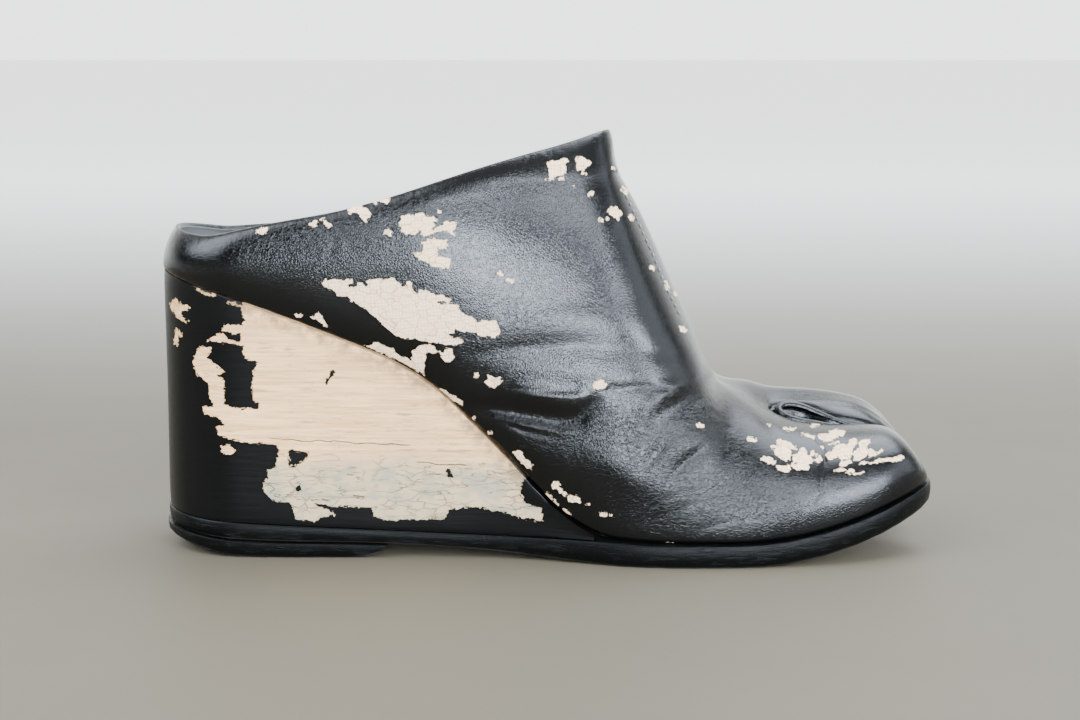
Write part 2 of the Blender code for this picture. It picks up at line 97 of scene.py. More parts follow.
# %% Shader arithmetic
class Value:
    """One output of a shader node, with arithmetic."""

    def __init__(self, tree, socket=None):
        self.tree, self.socket = tree, socket

    def node(self, kind, settings=None, sockets=None, out=0):
        """Adds a node: its settings are set first, then its sockets get values or links."""
        made = self.tree.nodes.new(kind)
        for name, value in (settings or {}).items():
            setattr(made, name, value)
        for key, value in (sockets or {}).items():
            if isinstance(value, Value):
                self.tree.links.new(value.socket, made.inputs[key])
            else:
                made.inputs[key].default_value = value
        return Value(self.tree, made.outputs[out])

    def math(self, operation, *others, clamp=False):
        settings = {"operation": operation, "use_clamp": clamp}
        return self.node("ShaderNodeMath", settings, dict(enumerate((self, *others))))

    def __add__(self, other):
        return self.math("ADD", other)

    __radd__ = __add__

    def __mul__(self, other):
        return self.math("MULTIPLY", other)

    __rmul__ = __mul__

    def __sub__(self, other):
        return self.math("SUBTRACT", other)

    def __rsub__(self, other):
        return (self * -1) + other

    def part(self, axis):
        """The X, Y or Z part of this vector."""
        return self.node("ShaderNodeSeparateXYZ", None, {"Vector": self}, out=axis)

    def step(self, low, high):
        """0 below low, 1 above high, eased between them."""
        sockets = {"Value": self, "From Min": low, "From Max": high}
        return self.node("ShaderNodeMapRange", {"interpolation_type": "SMOOTHSTEP"}, sockets)

    def blend(self, first, second):
        """A colour part of the way from first to second."""
        sockets = {"Factor": self, 6: first, 7: second}
        return self.node("ShaderNodeMix", {"data_type": "RGBA"}, sockets, out=2)

    def noise(self, size, detail=3.0, rough=0.5, stretch=(1, 1, 1)):
        """Cloudy noise on this vector, with lumps of a size in metres."""
        place = self.node("ShaderNodeMapping", None, {"Vector": self, "Scale": stretch})
        sockets = {"Vector": place, "Scale": 1 / size, "Detail": detail, "Roughness": rough}
        return self.node("ShaderNodeTexNoise", None, sockets)

    def cells(self, size, stretch=(1, 1, 1), out=0, **settings):
        """Cells of a size in metres: the distance to their edges, unless the settings say otherwise."""
        place = self.node("ShaderNodeMapping", None, {"Vector": self, "Scale": stretch})
        settings = {"feature": "DISTANCE_TO_EDGE", **settings}
        return self.node("ShaderNodeTexVoronoi", settings, {"Vector": place, "Scale": 1 / size}, out)

    def blocks(self, size, stretch=(1, 1, 1)):
        """A random level for each of many squarish cells, for edges that break in small steps."""
        return self.cells(size, stretch, out="Color", feature="F1", distance="CHEBYCHEV")

    def veins(self, size, width):
        """Thin wandering lines where a noise crosses its middle."""
        return 1 - (self.noise(size, 3) * 2 - 1).math("ABSOLUTE").step(0.0, width)

    def warp(self, amount, size):
        """This vector pushed about by noise, by an amount and at a size in metres."""
        push = self.node("ShaderNodeTexNoise", None, {"Vector": self, "Scale": 1 / size}, out="Color")
        sockets = {0: push, 1: (amount, amount, amount), 2: self}
        return self.node("ShaderNodeVectorMath", {"operation": "MULTIPLY_ADD"}, sockets)

    def bump(self, strength, depth):
        """A Bump node for this height, for one layer of relief."""
        sockets = {"Height": self, "Strength": strength, "Distance": depth}
        return self.node("ShaderNodeBump", None, sockets)


def colour(red, green, blue):
    return (red, green, blue, 1)


def start_finish(name, **settings):
    """A new material, its shader with plain settings, and the place of each point to start from."""
    material = bpy.data.materials.new(name)
    material.use_nodes = True
    shader = material.node_tree.nodes["Principled BSDF"]
    for socket, value in settings.items():
        shader.inputs[socket.replace("_", " ")].default_value = value
    tree = Value(material.node_tree)
    return material, shader, tree.node("ShaderNodeTexCoord", out="Object")


def feed(shader, **values):
    """Links values into a shader's sockets."""
    for socket, value in values.items():
        value.tree.links.new(value.socket, shader.inputs[socket.replace("_", " ")])


def attribute(place, name):
    return place.node("ShaderNodeAttribute", {"attribute_name": name}, out="Fac")


print("shader arithmetic ready")

# %% [markdown]
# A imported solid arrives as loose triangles. A copy is merged into one skin, the thin slivers among its
# triangles are joined to their neighbours, the rest are paired into four-sided faces, and a Subdivision
# Surface then rounds the skin as leather and rubber are rounded.

# %% Copying a solid
SLIVER_HEIGHT, SLIVER_LENGTH = 0.3 * MM, 6 * MM


def edit(piece):
    """Goes into edit mode on one piece, with nothing selected."""
    bpy.ops.object.select_all(action="DESELECT")
    bpy.context.view_layer.objects.active = piece
    piece.select_set(True)
    bpy.ops.object.mode_set(mode="EDIT")
    bpy.ops.mesh.select_mode(type="FACE")


def join_slivers(piece):
    """Takes away the long edge of each sliver, so that it belongs to the face beside it."""
    shape = bmesh.new()
    shape.from_mesh(piece.data)
    long_edges = set()
    for face in shape.faces:
        longest = max(face.edges, key=lambda edge: edge.calc_length())
        length = longest.calc_length()
        if length > SLIVER_LENGTH and 2 * face.calc_area() < SLIVER_HEIGHT * length:
            long_edges.add(longest)
    bmesh.ops.dissolve_edges(shape, edges=list(long_edges), use_verts=False)
    shape.to_mesh(piece.data)
    shape.free()
    return len(long_edges)


def copy_of(node, name):
    """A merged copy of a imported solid, in four-sided faces where they can be found."""
    piece = bpy.data.objects.new(name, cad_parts[node].data.copy())
    piece.data.materials.clear()
    bpy.context.scene.collection.objects.link(piece)
    edit(piece)
    bpy.ops.mesh.select_all(action="SELECT")
    bpy.ops.mesh.customdata_custom_splitnormals_clear()
    bpy.ops.mesh.remove_doubles(threshold=2e-5)
    bpy.ops.object.mode_set(mode="OBJECT")
    print(name, "slivers joined", join_slivers(piece))
    edit(piece)
    bpy.ops.mesh.select_all(action="SELECT")
    bpy.ops.mesh.tris_convert_to_quads(face_threshold=0.9, shape_threshold=1.2)
    bpy.ops.mesh.normals_make_consistent(inside=False)
    bpy.ops.object.mode_set(mode="OBJECT")
    return piece


def refine(piece, levels):
    """Subdivides a piece for good."""
    modifier = piece.modifiers.new("refine", "SUBSURF")
    modifier.levels = modifier.render_levels = levels
    bpy.context.view_layer.objects.active = piece
    bpy.ops.object.modifier_apply(modifier="refine")


def points_of(piece):
    co = np.empty(len(piece.data.vertices) * 3)
    piece.data.vertices.foreach_get("co", co)
    return co.reshape(-1, 3)


def normals_of(piece):
    normals = np.empty(len(piece.data.vertices) * 3, np.float32)
    piece.data.vertex_normals.foreach_get("vector", normals)
    return normals.reshape(-1, 3).astype(float)


def set_points(piece, points):
    piece.data.vertices.foreach_set("co", points.ravel())
    piece.data.update()


def set_attribute(piece, name, values):
    layer = piece.data.attributes.get(name) or piece.data.attributes.new(name, "FLOAT", "POINT")
    layer.data.foreach_set("value", np.asarray(values, np.float32))


def get_attribute(piece, name):
    values = np.empty(len(piece.data.vertices), np.float32)
    piece.data.attributes[name].data.foreach_get("value", values)
    return values.astype(float)


def report(piece):
    triangles = sum(len(polygon.vertices) - 2 for polygon in piece.data.polygons)
    print(piece.name, "triangles", triangles)


print("slivers lower than", SLIVER_HEIGHT / MM, "mm will be joined to their neighbours")

# %% [markdown]
# The upper is a closed shell with an outside, a lining and two raw edges, at the collar and at the sole.
# A walk over its faces that stops at sharp edges finds each of them. The lining gets the second material,
# and the middles of the raw edges are kept, because wear and raw leather show beside them.

# %% Upper: outside, edges and lining
SHARP = math.radians(55)
COLLAR_LINE = ((-118, 88), (-60, 84), (-20, 85), (20, 110))
OUTSIDE_SLOT, LINING_SLOT = 0, 1

upper = copy_of("upper", "upper_leather")


def face_islands(shape):
    """Groups of faces that meet at less than a sharp angle, largest first."""
    left, groups = set(shape.faces), []
    while left:
        group, queue = [], [left.pop()]
        while queue:
            face = queue.pop()
            group.append(face)
            for edge in face.edges:
                if len(edge.link_faces) == 2 and edge.calc_face_angle() < SHARP:
                    near = [other for other in edge.link_faces if other in left]
                    left.difference_update(near)
                    queue.extend(near)
        groups.append(group)
    return sorted(groups, key=len, reverse=True)


shape = bmesh.new()
shape.from_mesh(upper.data)
islands = face_islands(shape)
widest = [min(v.co.y for face in group for v in face.verts) for group in islands[:2]]
outer = islands[int(np.argmin(widest))]
inner = islands[1 - int(np.argmin(widest))]
edge_faces = [face for group in islands[2:] for face in group]
outer_points = {v.index for face in outer for v in face.verts}
lining_faces = [face.index for face in inner]
raw_edge = {"collar": [], "feather": []}
for face in edge_faces:
    middle = face.calc_center_median() / MM
    if middle.x > 20 and middle.z > 30:
        continue
    line = np.interp(middle.x, *zip(*COLLAR_LINE))
    where = "collar" if middle.z > line and middle.x < 22 else "feather"
    corners = [v.co.copy() for v in face.verts]
    for first, second in zip(corners, corners[1:] + corners[:1]):
        raw_edge[where] += [first.lerp(second, share) for share in (0, 0.25, 0.5, 0.75)]
shape.free()
print("faces outside", len(outer), "lining", len(inner), "edges", len(edge_faces))

set_attribute(upper, "outside", [float(i in outer_points) for i in range(len(upper.data.vertices))])
for slot in (OUTSIDE_SLOT, LINING_SLOT):
    upper.data.materials.append(None)
for i in lining_faces:
    upper.data.polygons[i].material_index = LINING_SLOT
refine(upper, 2)
report(upper)

# %% [markdown]
# Where the black coat has flaked, the pale base shows. Flakes with a shape of their own are drawn as
# outlines in photograph pixels. The rest are small and roundish: each is given by its middle, its half
# sizes and its tilt, and a seeded hand draws it with a few uneven corners.

# %% Flakes on the upper
DRAWN_FLAKES = [
    [(322, 283), (325, 278), (328, 281), (333, 279), (345, 280), (352, 279), (353, 282), (347, 285),
     (348, 287), (355, 287), (357, 283), (362, 283), (365, 286), (368, 285), (365, 280), (372, 279),
     (380, 278), (383, 280), (392, 278), (397, 281), (403, 287), (407, 286), (406, 282), (409, 280),
     (412, 283), (412, 287), (417, 294), (420, 290), (428, 291), (435, 294), (442, 295), (451, 298),
     (450, 302), (438, 302), (442, 305), (447, 303), (457, 305), (461, 310), (461, 313), (473, 317),
     (477, 322), (485, 320), (495, 320), (498, 323), (500, 330), (498, 337), (480, 336), (475, 332),
     (460, 331), (455, 328), (454, 333), (445, 333), (453, 338), (458, 337), (463, 339), (463, 343),
     (457, 345), (447, 345), (432, 342), (420, 341), (415, 338), (407, 339), (398, 337), (392, 333),
     (385, 327), (375, 317), (365, 308), (350, 300), (347, 296), (337, 296), (333, 291), (325, 287)],
    [(364, 346), (372, 345), (373, 342), (378, 342), (385, 346), (393, 348), (397, 354), (407, 358),
     (410, 360), (413, 357), (412, 352), (417, 347), (420, 345), (428, 344), (433, 346), (437, 350),
     (435, 354), (428, 351), (426, 357), (424, 363), (425, 376), (417, 371), (403, 363), (390, 357),
     (377, 351)],
    [(437, 351), (443, 352), (446, 348), (453, 349), (454, 357), (452, 361), (449, 363), (445, 361),
     (441, 356)],
    [(398, 222), (401, 220), (400, 217), (405, 215), (410, 214), (415, 216), (417, 214), (423, 213),
     (428, 217), (433, 216), (438, 220), (437, 222), (433, 222), (436, 226), (432, 228), (433, 230),
     (438, 226), (443, 224), (443, 222), (447, 220), (450, 222), (456, 222), (457, 225), (453, 232),
     (456, 235), (451, 234), (448, 231), (438, 232), (427, 235), (421, 236), (420, 234), (422, 232),
     (420, 230), (417, 234), (405, 234), (402, 231)],
    [(422, 242), (427, 242), (428, 239), (433, 238), (437, 240), (447, 240), (448, 246), (447, 249),
     (437, 248), (438, 257), (447, 257), (451, 258), (449, 268), (445, 268), (431, 266), (426, 262),
     (419, 259), (412, 253), (415, 252), (423, 254), (423, 247)],
    [(347, 211), (350, 208), (355, 207), (358, 205), (362, 205), (364, 207), (368, 209), (371, 214),
     (367, 220), (369, 222), (367, 223), (363, 221), (362, 218), (356, 212), (350, 214)],
    [(372, 202), (376, 200), (380, 197), (385, 196), (390, 198), (390, 200), (387, 204), (378, 201),
     (376, 204)],
    [(309, 224), (312, 222), (316, 220), (318, 223), (317, 226), (313, 227)],
    [(320, 219), (324, 218), (327, 221), (332, 226), (330, 229), (325, 225), (323, 222)],
    [(383, 234), (385, 230), (389, 228), (390, 231), (392, 232), (391, 236), (387, 235)],
    [(310, 317), (313, 317), (315, 313), (319, 312), (322, 317), (330, 327), (323, 327), (321, 322),
     (317, 321)],
    [(485, 382), (488, 380), (487, 374), (492, 375), (494, 377), (500, 377), (503, 380), (494, 388),
     (490, 387)],
    [(547, 163), (551, 161), (561, 160), (563, 158), (568, 158), (568, 162), (566, 164), (566, 172),
     (563, 175), (555, 177), (549, 177), (548, 170)],
    [(575, 158), (580, 156), (584, 157), (586, 160), (591, 162), (590, 166), (587, 167), (584, 172),
     (580, 170), (576, 171), (577, 167), (576, 162)],
    [(607, 212), (610, 207), (615, 206), (620, 209), (622, 214), (618, 222), (616, 218), (611, 216)],
    [(438, 388), (445, 390), (450, 395), (455, 396), (457, 399), (463, 402), (462, 407), (450, 399),
     (442, 392)],
    [(512, 452), (518, 450), (522, 452), (524, 458), (530, 461), (533, 466), (532, 469), (527, 468),
     (518, 459)],
    [(567, 494), (579, 496), (580, 503), (568, 502)],
    [(761, 460), (762.8, 456.5), (768.7, 456.5), (774.7, 460), (776.4, 463.3), (773.8, 465), (767, 463.3)],
    [(775.2, 466.7), (777.2, 465), (789, 465), (790.5, 468.4), (789, 471.8), (784, 471.8), (777.2, 469.3)],
    [(776.4, 442), (778.9, 439.2), (784.9, 440.4), (790.8, 443.8), (795.9, 445.5), (797.3, 449.7),
     (793.4, 449.7), (790, 448), (791.7, 452.3), (790.8, 459), (786.6, 460.8), (781.5, 459),
     (775.5, 454.8), (773.8, 451.4), (775.5, 448.9), (771.3, 448), (770.4, 446), (773.8, 445),
     (778, 446.3)],
    [(792.5, 454.8), (797.6, 453.1), (800.2, 448), (802.7, 446.3), (806.1, 449.7), (807.8, 454.8),
     (811.2, 454.8), (812.9, 459.9), (812, 463.3), (807.8, 463.3), (809.5, 467.6), (807.8, 471),
     (802.7, 470.1), (797.6, 470.1), (790.8, 466.7), (791.7, 462.5), (795.9, 463.3), (791.7, 459.9)],
    [(810.4, 451.4), (812.9, 450.6), (817.2, 454), (816.3, 456.5), (812, 454.8)],
    [(812, 459), (818, 458.2), (819.7, 455.7), (823, 459), (821.4, 461.6), (818.9, 462.5), (812.9, 460.8)],
    [(818, 436.1), (821.4, 433.6), (825.7, 433), (830.8, 434.4), (829.9, 431), (833.3, 429.3),
     (841.8, 429.8), (845.2, 431), (845.2, 434.4), (842.7, 435.8), (838.4, 435.3), (837.6, 438.7),
     (833.3, 438.7), (829.9, 442), (824.8, 442), (823.1, 439.5), (819.7, 438.7)],
    [(828.2, 444.3), (835, 442), (838.4, 440.4), (839.8, 442), (835, 444.3), (829.9, 445.5)],
    [(825.7, 454.8), (828.2, 452.3), (832.5, 451.4), (833.3, 447.2), (838.4, 444.6), (843.5, 443.8),
     (847.8, 447.2), (849.5, 439.5), (852.9, 437.8), (856.3, 438.7), (857.1, 442.9), (853.7, 447.2),
     (852, 451.4), (851.2, 456.5), (847.8, 459.9), (841.8, 459.9), (838.4, 456.5), (831.6, 459.9),
     (827.4, 459)],
    [(852.9, 453.1), (855.4, 449.7), (859.7, 447.2), (858.8, 442.9), (861.4, 439.5), (865.6, 438.7),
     (869.9, 439.2), (871.1, 442.9), (867.3, 445.5), (865.6, 446.3), (868.2, 451.4), (867.3, 456.5),
     (862.2, 458.2), (858.8, 460.8), (853.7, 459.9), (853.4, 456.5)],
    [(869.9, 449.7), (871.6, 448.9), (876.7, 454), (875.9, 456.5), (873.3, 456.5), (872.1, 459),
     (869, 457.4)],
    [(876.7, 451.4), (881.8, 448.9), (882.3, 450.6), (879.2, 454), (877.6, 453.1)],
    [(867.3, 463.3), (879.2, 459), (886, 457.4), (894.6, 456.5), (901.4, 455.2), (903.9, 457.4),
     (901.4, 460.8), (894.6, 461.6), (886, 461.6), (875.9, 463.3), (869.9, 464.2)],
    [(839.3, 464.2), (841.8, 460.8), (850.3, 459.9), (851.7, 462.5), (846.9, 465), (842.7, 466.7),
     (840.1, 465.9)],
    [(858, 463.3), (862.2, 461.6), (868.2, 461.6), (867.3, 463.7), (860.5, 465)],
    [(832.8, 469.3), (838.4, 468.1), (844.4, 469.3), (845.2, 471), (838.4, 471.8), (833.7, 470.6)],
    [(845.2, 470.1), (852, 468.4), (854, 471), (852, 472.7), (846.9, 472.7)],
    [(848.6, 474.4), (858.8, 472.7), (865.6, 471), (862.2, 473.5), (853.7, 474.9)],
    [(808.7, 427.6), (811.2, 425), (812, 422.5), (818, 422.5), (820.6, 423.9), (818, 425.9),
     (814.6, 426.8)],
    [(780.6, 426.8), (789.1, 427.6), (795.9, 427.6), (795, 430.2), (790, 431), (784, 429)],
    [(801, 432.7), (807.8, 433.6), (814.6, 436.1), (813.8, 438.7), (807.8, 437), (802.7, 434.8)],
]
ROUND_FLAKES = [
    # middle x and y, half length, half width, tilt in degrees clockwise
    (262, 231, 6, 3.4, -10), (439.7, 211.7, 2, 1.7, 0), (298, 315, 4.4, 2, 5), (477, 375, 3.2, 2.6, -30),
    (500.5, 273.7, 4, 2.5, 20), (510.5, 280.5, 3.8, 2.9, 10), (549, 179.6, 4.2, 2, -8),
    (562, 178.4, 3.8, 1.7, -10), (583.3, 173.8, 3, 2.5, 0), (574.2, 186.2, 1.6, 1.4, 0),
    (591.3, 193.3, 3.6, 2.5, -30), (612.8, 168.3, 1.7, 1.5, 0), (601.5, 220.2, 2.9, 2.4, -20),
    (607, 219.6, 2.7, 2.2, 10), (624.7, 190.3, 5, 2.6, 52), (631.3, 217.2, 4, 2.3, 58),
    (652.5, 267.8, 3.8, 2.8, 50), (666.7, 285.5, 5.3, 2.1, 72), (676, 293.5, 3, 1.7, 62),
    (683, 329.2, 4.8, 3.2, 45), (600, 385, 6.6, 4.8, -5), (474.4, 418, 1.7, 1.4, 0),
    (490.4, 433, 2.6, 1.7, 30), (556, 485, 4, 4.2, 0), (561, 490.5, 4, 2.8, 40), (565, 494, 3, 2.4, 30),
    (549, 496.5, 5, 2.4, 45), (556, 503, 3.6, 2, 42), (566.6, 511.6, 4.6, 1.7, 40),
    (587.6, 504.4, 2.4, 1.8, 0), (603.6, 514.4, 4.2, 2.2, 20), (611, 515.2, 2.1, 1.9, 0),
    (668, 544, 7, 1.8, -4), (700, 425.5, 4, 2.8, 20), (752, 439.5, 5.6, 2.4, 15),
    (769, 425, 1.5, 1.1, 0), (822.5, 446.8, 1.6, 1.6, 0),
]
FAR_SIDE_FLAKES = [
    (340, 221, 11, 6, -20), (433, 222, 14, 8, 10), (476, 194, 5, 3, 0), (570, 178, 9, 8, 30),
    (617, 206, 5, 4, 60), (405, 314, 30, 11, 16), (452, 334, 20, 8, 20), (446, 366, 5, 4, 0),
    (530, 456, 10, 5, 40), (609, 507, 8, 4, 25), (785, 458, 13, 6, 12), (812, 451, 11, 5, -8),
    (704, 444, 4, 3, 0), (658, 275, 4, 2.4, 60), (798, 466, 7, 3, 10),
]
PIXELS_PER_MM = 3.35
FLAKE_REACH = 12
TORN_STEPS = ((8, 2.0), (3, 0.7))


def roundish(middle_x, middle_y, half_length, half_width, tilt, draw):
    """An outline with a few uneven corners round a tilted oval."""
    count = int(np.clip(half_length * 1.6, 7, 16))
    turn = (np.arange(count) + draw.uniform(-0.3, 0.3, count)) * 2 * math.pi / count
    reach = draw.uniform(0.86, 1.14, count)
    along, across = np.cos(turn) * half_length * reach, np.sin(turn) * half_width * reach
    lean = math.radians(tilt)
    right = middle_x + along * math.cos(lean) - across * math.sin(lean)
    down = middle_y + along * math.sin(lean) + across * math.cos(lean)
    return np.stack((right, down), axis=1)


def torn(outline, draw):
    """An outline whose sides are broken up, first coarsely and then finely, as a torn edge is."""
    corners = np.asarray(outline, float)
    for pitch, push in TORN_STEPS:
        broken = []
        for first, second in zip(corners, np.roll(corners, -1, axis=0)):
            count = max(1, int(np.linalg.norm(second - first) / pitch))
            share = np.arange(count)[:, None] / count
            broken.append(first + (second - first) * share + draw.normal(0, push, (count, 2)))
        corners = np.concatenate(broken)
    return corners


def inside_by(points, outline):
    """How far inside an outline each point lies, in pixels; less than nothing outside it."""
    corner = np.asarray(outline, float)
    side = np.roll(corner, -1, axis=0) - corner
    away = points[:, None, :] - corner[None]
    share = np.clip((away * side).sum(2) / (side**2).sum(1), 0, 1)
    gap = np.linalg.norm(away - share[..., None] * side, axis=2).min(1)
    below = corner[:, 1] > points[:, 1:2]
    crossing = below != np.roll(below, -1, axis=1)
    slope = side[:, 0] / np.where(side[:, 1] == 0, 1e-9, side[:, 1])
    passed = points[:, :1] < corner[:, 0] + slope * (points[:, 1:2] - corner[:, 1])
    within = (crossing & passed).sum(1) % 2 == 1
    return np.where(within, gap, -gap)


def flaked_by(place, outlines):
    """How deep inside any of the outlines each point lies, in pixels."""
    depth = np.full(len(place), -float(FLAKE_REACH))
    for outline in outlines:
        low, high = np.min(outline, axis=0) - FLAKE_REACH, np.max(outline, axis=0) + FLAKE_REACH
        near = np.flatnonzero(((place > low) & (place < high)).all(1))
        if len(near):
            depth[near] = np.maximum(depth[near], inside_by(place[near], outline))
    return depth


draw = np.random.default_rng(7)
near_flakes = DRAWN_FLAKES + [roundish(*row, draw) for row in ROUND_FLAKES]
far_flakes = [torn(roundish(*row, draw), draw) for row in FAR_SIDE_FLAKES]
print("flakes in sight", len(near_flakes), "on the far side", len(far_flakes))

# %% [markdown]
# A flake is thrown onto the leather only where the camera sees the leather: the point faces the eye and
# nothing stands before it. The far side gets its own flakes, thrown from a mirrored eye. The depth inside
# a flake is kept on the points, so the finish can draw an edge much finer than the mesh.

# %% Mark the flakes
MIRROR_Y = 1.107 * MM
FLIP = np.array((1, -1, 1))
SIGHT_SLACK = 1.2 * MM
OUTSIDE_SHARE = 0.6
FLAKE_EDGE_REACHES = (0.7, 0.33)


def mirrored(points):
    """Points seen in a mirror along the middle of the shoe."""
    return points * FLIP + np.array((0, 2 * MIRROR_Y, 0))


def facing(points, normals):
    """How squarely each point faces the eye, 1 for full on."""
    sight = EYE - points
    return (sight * normals).sum(1) / np.linalg.norm(sight, axis=1)


def in_sight(piece, points, chosen):
    """Which of the chosen points nothing hides from the eye."""
    tree = BVHTree.FromObject(piece, bpy.context.evaluated_depsgraph_get())
    clear = np.zeros(len(points), bool)
    for i in chosen:
        goal = Vector(points[i])
        ray = goal - Vector(EYE)
        hit = tree.ray_cast(EYE, ray.normalized())
        clear[i] = hit[3] is None or hit[3] > ray.length - SIGHT_SLACK
    return clear


def mark_flakes(piece, near_outlines, far_outlines):
    """Writes the depth inside the flakes, in millimetres, on the points of a piece."""
    points, normals = points_of(piece), normals_of(piece)
    outside = get_attribute(piece, "outside") > OUTSIDE_SHARE
    depth = flaked_by(photo_place(points), near_outlines)
    chosen = np.flatnonzero((depth > -FLAKE_REACH) & outside & (facing(points, normals) > 0.04))
    seen = in_sight(piece, points, chosen)
    depth[~seen] = -FLAKE_REACH
    back = mirrored(points)
    far_depth = flaked_by(photo_place(back), far_outlines)
    turned = (facing(back, normals * FLIP) > 0.15) & outside
    depth = np.maximum(depth, np.where(turned, far_depth, -FLAKE_REACH))
    set_attribute(piece, "bare", depth / PIXELS_PER_MM)
    return depth / PIXELS_PER_MM


def refine_edges(piece, depth, reach):
    """Halves the faces that lie within reach, in millimetres, of a flake's edge."""
    near = np.abs(depth) < reach
    loops = np.empty(len(piece.data.loops), np.int32)
    piece.data.loops.foreach_get("vertex_index", loops)
    starts = np.empty(len(piece.data.polygons), np.int32)
    piece.data.polygons.foreach_get("loop_start", starts)
    edit(piece)
    bpy.ops.mesh.select_all(action="DESELECT")
    bpy.ops.object.mode_set(mode="OBJECT")
    piece.data.polygons.foreach_set("select", np.maximum.reduceat(near[loops], starts))
    bpy.ops.object.mode_set(mode="EDIT")
    bpy.ops.mesh.subdivide(number_cuts=1)
    bpy.ops.object.mode_set(mode="OBJECT")


for reach in FLAKE_EDGE_REACHES:
    refine_edges(upper, mark_flakes(upper, near_flakes, far_flakes), reach)
    report(upper)

# %% [markdown]
# Creases come from walking: the leather folds across the instep, gathers behind the toes and dents along
# the side. Each is laid along a line in the photograph, as a soft trough or ridge with its own width,
# and fades at both ends. The other side of the foot bends in the same places, so it gets the same lines,
# weaker.

# %% Creases of the upper
CREASES = [
    # height in mm, half width in pixels, line in photograph pixels
    (0.4, 13, [(505, 326), (560, 320), (600, 319), (645, 326)]),
    (-0.4, 6, [(470, 355), (520, 348), (580, 346), (640, 349), (690, 358)]),
    (0.35, 9, [(495, 372), (540, 372), (600, 374), (650, 378)]),
    (-0.3, 3, [(509, 388), (550, 391), (590, 391)]),
    (-0.35, 3, [(600, 391), (645, 387), (682, 391)]),
    (-1.2, 12, [(724, 376), (706, 389), (684, 404), (664, 416), (652, 420)]),
    (0.7, 9, [(690, 383), (664, 394), (648, 410), (642, 434)]),
    (-0.5, 5, [(668, 440), (656, 454), (641, 470)]),
    (0.6, 9, [(708, 432), (684, 446), (660, 460)]),
    (-0.5, 4.5, [(704, 448), (688, 460), (668, 480)]),
    (-0.2, 2.5, [(730, 478), (712, 490), (700, 496)]),
    (-0.2, 1.8, [(722, 434), (726, 446), (723, 460)]),
    (-1.5, 9, [(462, 405), (496, 409), (534, 416), (560, 421), (578, 419), (592, 405)]),
    (1.0, 11, [(505, 388), (540, 394), (575, 398), (598, 390)]),
    (0.4, 3.5, [(494, 417), (524, 426), (554, 431), (574, 433)]),
    (-0.4, 3, [(500, 422), (526, 431), (556, 437)]),
    (1.0, 22, [(570, 458), (610, 464), (650, 482), (690, 506)]),
    (-0.12, 3, [(700, 405), (724, 420)]),
    (-0.10, 3, [(712, 424), (738, 430)]),
    (-0.10, 3, [(650, 520), (690, 505), (730, 500)]),
    (-0.10, 3, [(690, 532), (730, 521), (772, 515)]),
    (-0.10, 3, [(660, 500), (700, 488)]),
    (-0.3, 1.8, [(806, 434), (816, 439), (823, 446), (825, 462), (821, 480), (819, 494), (808, 508)]),
    (-0.12, 2.5, [(322, 222), (334, 240), (330, 256)]),
    (-0.10, 2.5, [(336, 224), (346, 236), (352, 252)]),
    (-0.08, 2.5, [(380, 210), (400, 246)]),
    (-0.08, 2.5, [(430, 192), (452, 212)]),
]
THIN = 5
THIN_REACH = 1.2
CREASE_MARGIN = 12
FAR_AWAY = 99.0


def along_line(place, line):
    """Distance to a line in pixels, which side of it, and how far along it each point is from 0 to 1."""
    line = np.asarray(line, float)
    side = np.diff(line, axis=0)
    lengths = np.linalg.norm(side, axis=1)
    away = place[:, None, :] - line[None, :-1]
    share = np.clip((away * side).sum(2) / lengths**2, 0, 1)
    rest = away - share[..., None] * side
    gaps = np.linalg.norm(rest, axis=2)
    nearest = gaps.argmin(1)
    rows = np.arange(len(place))
    reached = np.concatenate(([0], np.cumsum(lengths)))[nearest] + share[rows, nearest] * lengths[nearest]
    over = np.sign(side[nearest, 0] * away[rows, nearest, 1] - side[nearest, 1] * away[rows, nearest, 0])
    return gaps[rows, nearest], over, reached / lengths.sum()


def refine_creases(piece, reach):
    """Halves the faces near the thin creases, so that the mesh can carry them."""
    points = points_of(piece)
    seen = photo_place(points)
    gap = np.full(len(seen), FAR_AWAY)
    for _, width, line in CREASES:
        if width < THIN:
            low, high = np.min(line, axis=0) - CREASE_MARGIN, np.max(line, axis=0) + CREASE_MARGIN
            near = np.flatnonzero(((seen > low) & (seen < high)).all(1))
            gap[near] = np.minimum(gap[near], along_line(seen[near], line)[0] / PIXELS_PER_MM)
    turned_away = facing(points, normals_of(piece)) < 0.05
    gap[turned_away | (get_attribute(piece, "outside") < OUTSIDE_SHARE)] = FAR_AWAY
    refine_edges(piece, gap, reach)


refine_creases(upper, THIN_REACH)
report(upper)
bare = mark_flakes(upper, near_flakes, far_flakes)
print("bare points", int((bare > 0).sum()), "of", len(bare))

# %% [markdown]
# The creases are summed as heights at points of the photograph, with the low step of the band that is
# sewn round the collar. A point that faces the camera takes its height from the photograph, one on the
# other side from the mirrored view, and one on the ridge between them takes some of both.

# %% Fold the leather
FAR_SIDE_SHARE = 0.8
BAND_LINE = [(330, 240), (400, 212), (460, 196), (530, 187), (572, 182), (612, 172)]
BAND_RISE = 0.45
BAND_SOFT = 2.2


